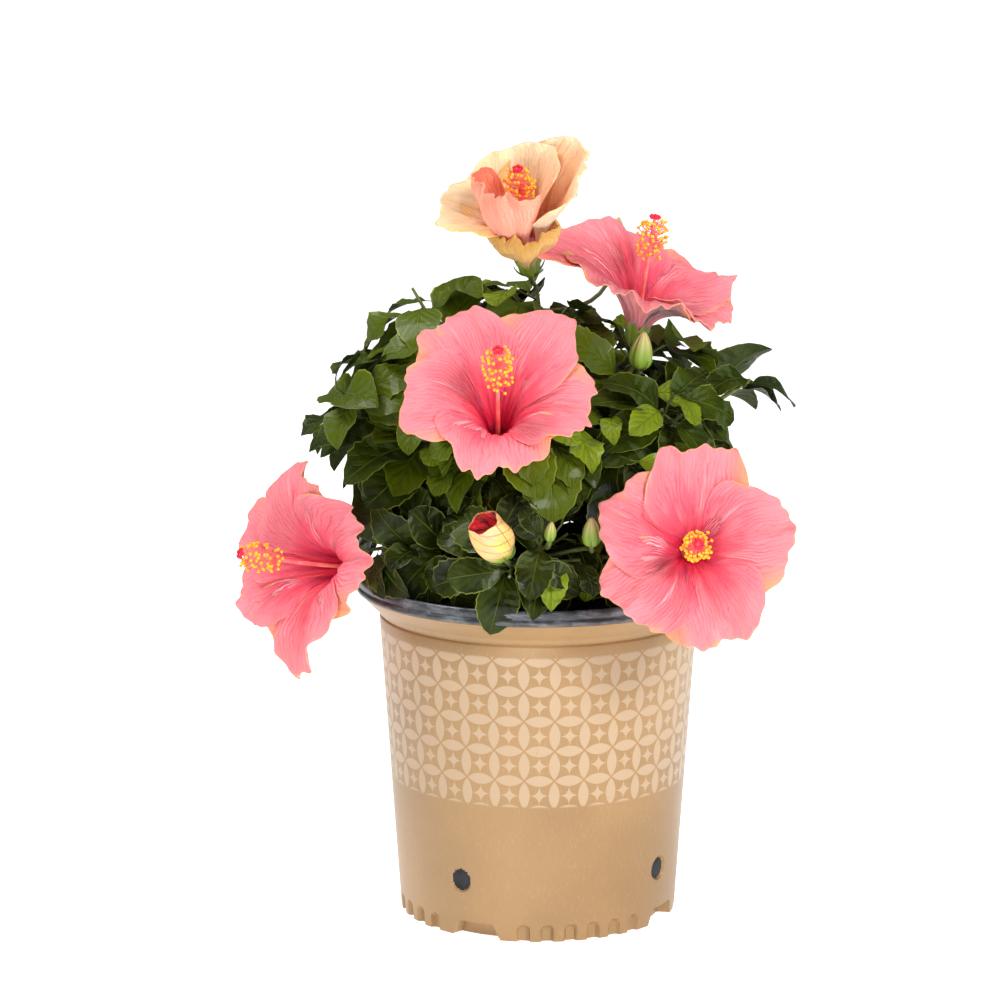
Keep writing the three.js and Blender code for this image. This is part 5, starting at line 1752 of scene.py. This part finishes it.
class MakeFoliage(bpy.types.Operator):
    """Grow the twigs and leaves of every mass"""

    bl_idname = "hibiscus.make_foliage"
    bl_label = "Make Foliage"

    def execute(self, context):
        colours, sizes = settings(context, "plant_colours"), settings(context, "crown_sizes")
        stems, leaves = grow_crown(sizes)
        if not leaves:
            raise RuntimeError("no leaf found room in the crown")
        arcs = np.array([arc for arc, *_ in stems])
        radii = np.array([ends for _, *ends in stems])
        nodes = all_leaf_nodes()
        make_piece("twigs", bars(arcs, radii, corners=7, rows=7), "bark", nodes, [green_stem(colours)])
        roll = dice(RANGE.seed)
        # Leaf tones, darkest first; the dark and bright ones carry painted shade and painted light by where
        # their sprays stand
        tones = (
            ("leaves_deep", colours.leaf_dark_and_shaded), ("leaves_middle", colours.leaf_mid),
            ("leaves_fresh", colours.leaf_bright_and_lit), ("leaves_young", colours.leaf_young),
        )
        for tone, (name, colour) in enumerate(tones):
            chosen = [leaf for leaf in leaves if leaf.tone == tone]
            skin, uv, shades = leaf_skin(chosen, sizes.leaf_width, roll)
            over = leaf_finish(name + " upper side", colours, colour)
            under = leaf_finish(name + " underside", colours, colour, under=True)
            make_piece(name, skin, "foliage", nodes, [over, under], uv=uv, shades=shades, sharp=80)
        return {"FINISHED"}


class MakeBlooms(bpy.types.Operator):
    """Make the five blooms: petals, column, anthers, stigma, calyx and stalk"""

    bl_idname = "hibiscus.make_blooms"
    bl_label = "Make Blooms"

    def execute(self, context):
        colours, sizes = settings(context, "plant_colours"), settings(context, "flower_sizes")
        pink, peach, blush, amber = (
            [petal_finish(name, [getattr(colours, key) for key in keys], back) for back in (False, True)]
            for name, keys in PETAL_TONES.items()
        )
        column = plain_finish("column", colours.column, colours.column_tip, 120, 0.5)
        anther = plain_finish("anther", colours.anther, colours.anther_deep, 900, 0.7, 0.2)
        stigma = plain_finish("stigma", colours.crimson, colours.throat, 900, 0.8, 0.2)
        sepal = sepal_finish("calyx", colours)
        stem = green_stem(colours)
        for number, bloom in enumerate(bloom_frames()):
            wilted = bloom.name == "bloom_top"
            finishes, slot = (peach + blush + amber, "faded_petal") if wilted else (pink, "petal")
            self.make_petals(bloom, sizes, finishes, slot, (0, 0, 0, 1, 2) if wilted else (0,) * 5)
            self.make_column(bloom, sizes, number, column, anther, stigma)
            self.make_calyx(bloom, sepal, stem)
        return {"FINISHED"}

    @staticmethod
    def make_petals(bloom, sizes, finishes, slot, kinds):
        """Five petals as one sheet piece, whose finishes come in pairs of face and reverse by kind, with a
        thickness put on by a modifier."""
        rows, columns = 56, 61
        grids = [petal_grid(bloom, k, rows, columns, sizes.lap / MM) for k in range(5)]
        points = np.concatenate([grid[0] for grid in grids])
        uv = np.concatenate([grid[1] for grid in grids])
        faces = [sheet_faces(rows, columns, 5)[:, ::-1]]
        shades = np.repeat(2 * np.array(kinds), (rows - 1) * (columns - 1))
        skin = (points, faces)
        name = bloom.name + "_petals"
        piece = make_piece(name, skin, slot, [bloom.name], finishes, uv=uv, shades=shades, sharp=80)
        wall = piece.modifiers.new("thickness", "SOLIDIFY")
        wall.thickness = sizes.thickness
        wall.offset = -1
        wall.material_offset = 1

    @staticmethod
    def make_column(bloom, sizes, number, column, anther, stigma):
        """Column with a flared foot, its filaments and forked tip, the anthers and the stigma's pads."""
        arc = column_arc(bloom)
        filaments = filament_arcs(arc, sizes.filaments, sizes.filament / MM, 31 + number)
        branches = stigma_arcs(arc)
        flare = 1 + 2.2 * np.exp(-((np.linspace(0, 1, 40) / 0.05) ** 2))
        bar = bars(arc[None], np.array([[COLUMN.radius, COLUMN.tip]]), 16, 40, flare[None, :, None])
        threads = bars(filaments, np.full((len(filaments), 2), 0.3), corners=4, rows=4)
        forks = bars(branches, np.full((len(branches), 2), 0.5), corners=6, rows=5)
        make_piece(bloom.name + "_column", merged([bar, threads, forks]), "petal", [bloom.name], [column])
        pads, heads = (
            beads_skin(arcs[:, 2], unit(arcs[:, 2] - arcs[:, 1]), *shape)
            for arcs, shape in ((filaments, (1.25, 0.95, 6, 3)), (branches, (1.6, 1.3, 12, 7)))
        )
        make_piece(bloom.name + "_anthers", pads, "open_bud", [bloom.name], [anther])
        make_piece(bloom.name + "_stigma", heads, "petal", [bloom.name], [stigma])

    @staticmethod
    def make_calyx(bloom, sepal, stem):
        """Calyx, and the stalk with the bracts under it."""
        skin, uv = calyx_skin(bloom)
        make_piece(bloom.name + "_calyx", skin, "green_bud", [bloom.name], [sepal], uv=uv)
        base = bloom.throat - bloom.axis * (BLOOM.tube + 6)
        bracts = bract_arcs(base, bloom.axis, 12, CALYX.radius)
        make_stalk(bloom, bracts, thickness=[1.0, 0.25], widening=0.5, rows=24, stem=stem)


class MakeBuds(bpy.types.Operator):
    """Make the green buds and the one that is about to open"""

    bl_idname = "hibiscus.make_buds"
    bl_label = "Make Buds"

    def execute(self, context):
        colours = settings(context, "plant_colours")
        sepal, swirl, stem = sepal_finish("bud sepals", colours), swirl_finish(colours), green_stem(colours)
        for bud in bud_frames():
            opening = bud.name == "bud_open"
            make_body = self.open_body if opening else self.green_body
            skin, uv = make_body(bud)
            slot = "open_bud" if opening else "green_bud"
            make_piece(bud.name + "_body", skin, slot, [bud.name], [swirl if opening else sepal], uv=uv)
            bracts = bract_arcs(bud.root, bud.axis, bud.length * 0.3, bud.radius * 0.62)
            make_stalk(bud, bracts, thickness=[bud.radius * 0.09, 0.2], widening=0.2, rows=16, stem=stem)
        return {"FINISHED"}

    @staticmethod
    def green_body(bud):
        """Closed bud with five ribs: radius sin(pi t^0.7)^0.6, slimmer towards the tip."""
        t = np.linspace(0.01, 0.99, 24)
        radii = bud.radius * np.sin(np.pi * t**0.7) ** 0.6 * blend(1, 0.74, t)
        return turned_body(bud.root, bud.axis, radii, bud.length * t, 5, depth=0.09, twist=0, corners=40)

    @staticmethod
    def open_body(bud):
        """Rolled petals: radius sin(pi t^0.8)^0.55 up to the widest rim, then a mouth that runs in and down
        like a quarter of a circle, with folds that deepen and twist."""
        t = np.linspace(0.01, 0.76, 30)
        radii = bud.radius * np.sin(np.pi * t**0.8) ** 0.55
        mouth = np.linspace(1, 0.08, 16)
        radii = np.concatenate([radii, radii[-1] * mouth])
        heights = bud.length * np.concatenate([t * 1.25, 0.95 - 0.25 * np.sqrt(1 - mouth**2)])
        depth = np.concatenate([blend(0.02, 0.09, t), 0.09 + 0.22 * (1 - mouth)])[:, None]
        return turned_body(bud.root, bud.axis, radii, heights, SWIRL.petals, depth, SWIRL.twist, corners=80)


class MakeStage(bpy.types.Operator):
    """Make the camera, lights, surroundings and floor"""

    bl_idname = "hibiscus.make_stage"
    bl_label = "Make Stage"

    def execute(self, context):
        stage = settings(context, "stage")
        self.make_camera(context, stage)
        for name, (place, size) in LIGHTS.items():
            self.make_light(context, name, place, size, getattr(stage, name))
        world = bpy.data.worlds.new("white surroundings")
        world.use_nodes = True
        background = world.node_tree.nodes["Background"]
        background.inputs["Color"].default_value = (1, 1, 1, 1)
        background.inputs["Strength"].default_value = stage.sky
        context.scene.world = world
        context.scene.view_settings.view_transform = "Standard"
        self.make_floor(context, stage)
        return {"FINISHED"}

    @staticmethod
    def make_camera(context, stage):
        """Camera that looks down at a point from straight in front of it."""
        tilt = np.radians(stage.tilt)
        aim = Vector((-stage.aim_left, 0, stage.aim_height))
        look = Vector((0, float(np.cos(tilt)), -float(np.sin(tilt))))
        data = bpy.data.cameras.new("camera")
        data.lens = stage.lens
        data.sensor_width = 36
        camera = bpy.data.objects.new("camera", data)
        camera.location = aim - look * stage.distance
        camera.rotation_euler = look.to_track_quat("-Z", "Y").to_euler()
        context.scene.collection.objects.link(camera)
        context.scene.camera = camera

    @staticmethod
    def make_light(context, name, place, size, power):
        """Round area light that points at the middle of the shrub."""
        data = bpy.data.lights.new(name, "AREA")
        data.shape = "DISK"
        data.size = size
        data.energy = power
        light = bpy.data.objects.new(name, data)
        light.location = place
        light.rotation_euler = (LIT_POINT - light.location).to_track_quat("-Z", "Y").to_euler()
        context.scene.collection.objects.link(light)

    @staticmethod
    def make_floor(context, stage):
        """Wide pale floor that glows like paper, just under the pot."""
        made = Finish("pale floor", roughness=0.9, Emission_Color=(1, 1, 1, 1), Emission_Strength=stage.glow)
        made.colour((stage.floor,) * 3)
        half, below = 14.0, -0.0002
        mesh = bpy.data.meshes.new("floor")
        corners = [(-half, -half, below), (half, -half, below), (half, half, below), (-half, half, below)]
        mesh.from_pydata(corners, [], [(0, 1, 2, 3)])
        mesh.materials.append(made.material)
        floor = bpy.data.objects.new("floor", mesh)
        context.scene.collection.objects.link(floor)


class HibiscusPanel(bpy.types.Panel):
    """Sidebar panel with the steps and settings of the shrub"""

    bl_idname = "VIEW3D_PT_hibiscus"
    bl_label = "Potted Hibiscus"
    bl_space_type = "VIEW_3D"
    bl_region_type = "UI"
    bl_category = "Hibiscus"

    def draw(self, context):
        for operator in OPERATORS:
            self.layout.operator(operator.bl_idname)
        for name, group in GROUPS.items():
            box = self.layout.box()
            for key in group.__annotations__:
                box.prop(settings(context, name), key)


OPERATORS = (MakePot, MakeLimbs, MakeFoliage, MakeBlooms, MakeBuds, MakeStage)
GROUPS = {
    "pot_colours": PotColours,
    "plant_colours": PlantColours,
    "crown_sizes": CrownSizes,
    "flower_sizes": FlowerSizes,
    "stage": StageSizes,
}


def register():
    """Registers the classes and hangs the settings on the scene."""
    for cls in (*GROUPS.values(), *OPERATORS, HibiscusPanel):
        bpy.utils.register_class(cls)
    for name, group in GROUPS.items():
        setattr(bpy.types.Scene, "hibiscus_" + name, bpy.props.PointerProperty(type=group))


def unregister():
    """Takes the settings off the scene and the classes out again."""
    for name in GROUPS:
        delattr(bpy.types.Scene, "hibiscus_" + name)
    for cls in reversed((*GROUPS.values(), *OPERATORS, HibiscusPanel)):
        bpy.utils.unregister_class(cls)


def main():
    """Makes every piece in order."""
    register()
    bpy.ops.hibiscus.make_pot()
    bpy.ops.hibiscus.make_limbs()
    bpy.ops.hibiscus.make_foliage()
    bpy.ops.hibiscus.make_blooms()
    bpy.ops.hibiscus.make_buds()
    bpy.ops.hibiscus.make_stage()


if __name__ == "__main__":
    main()
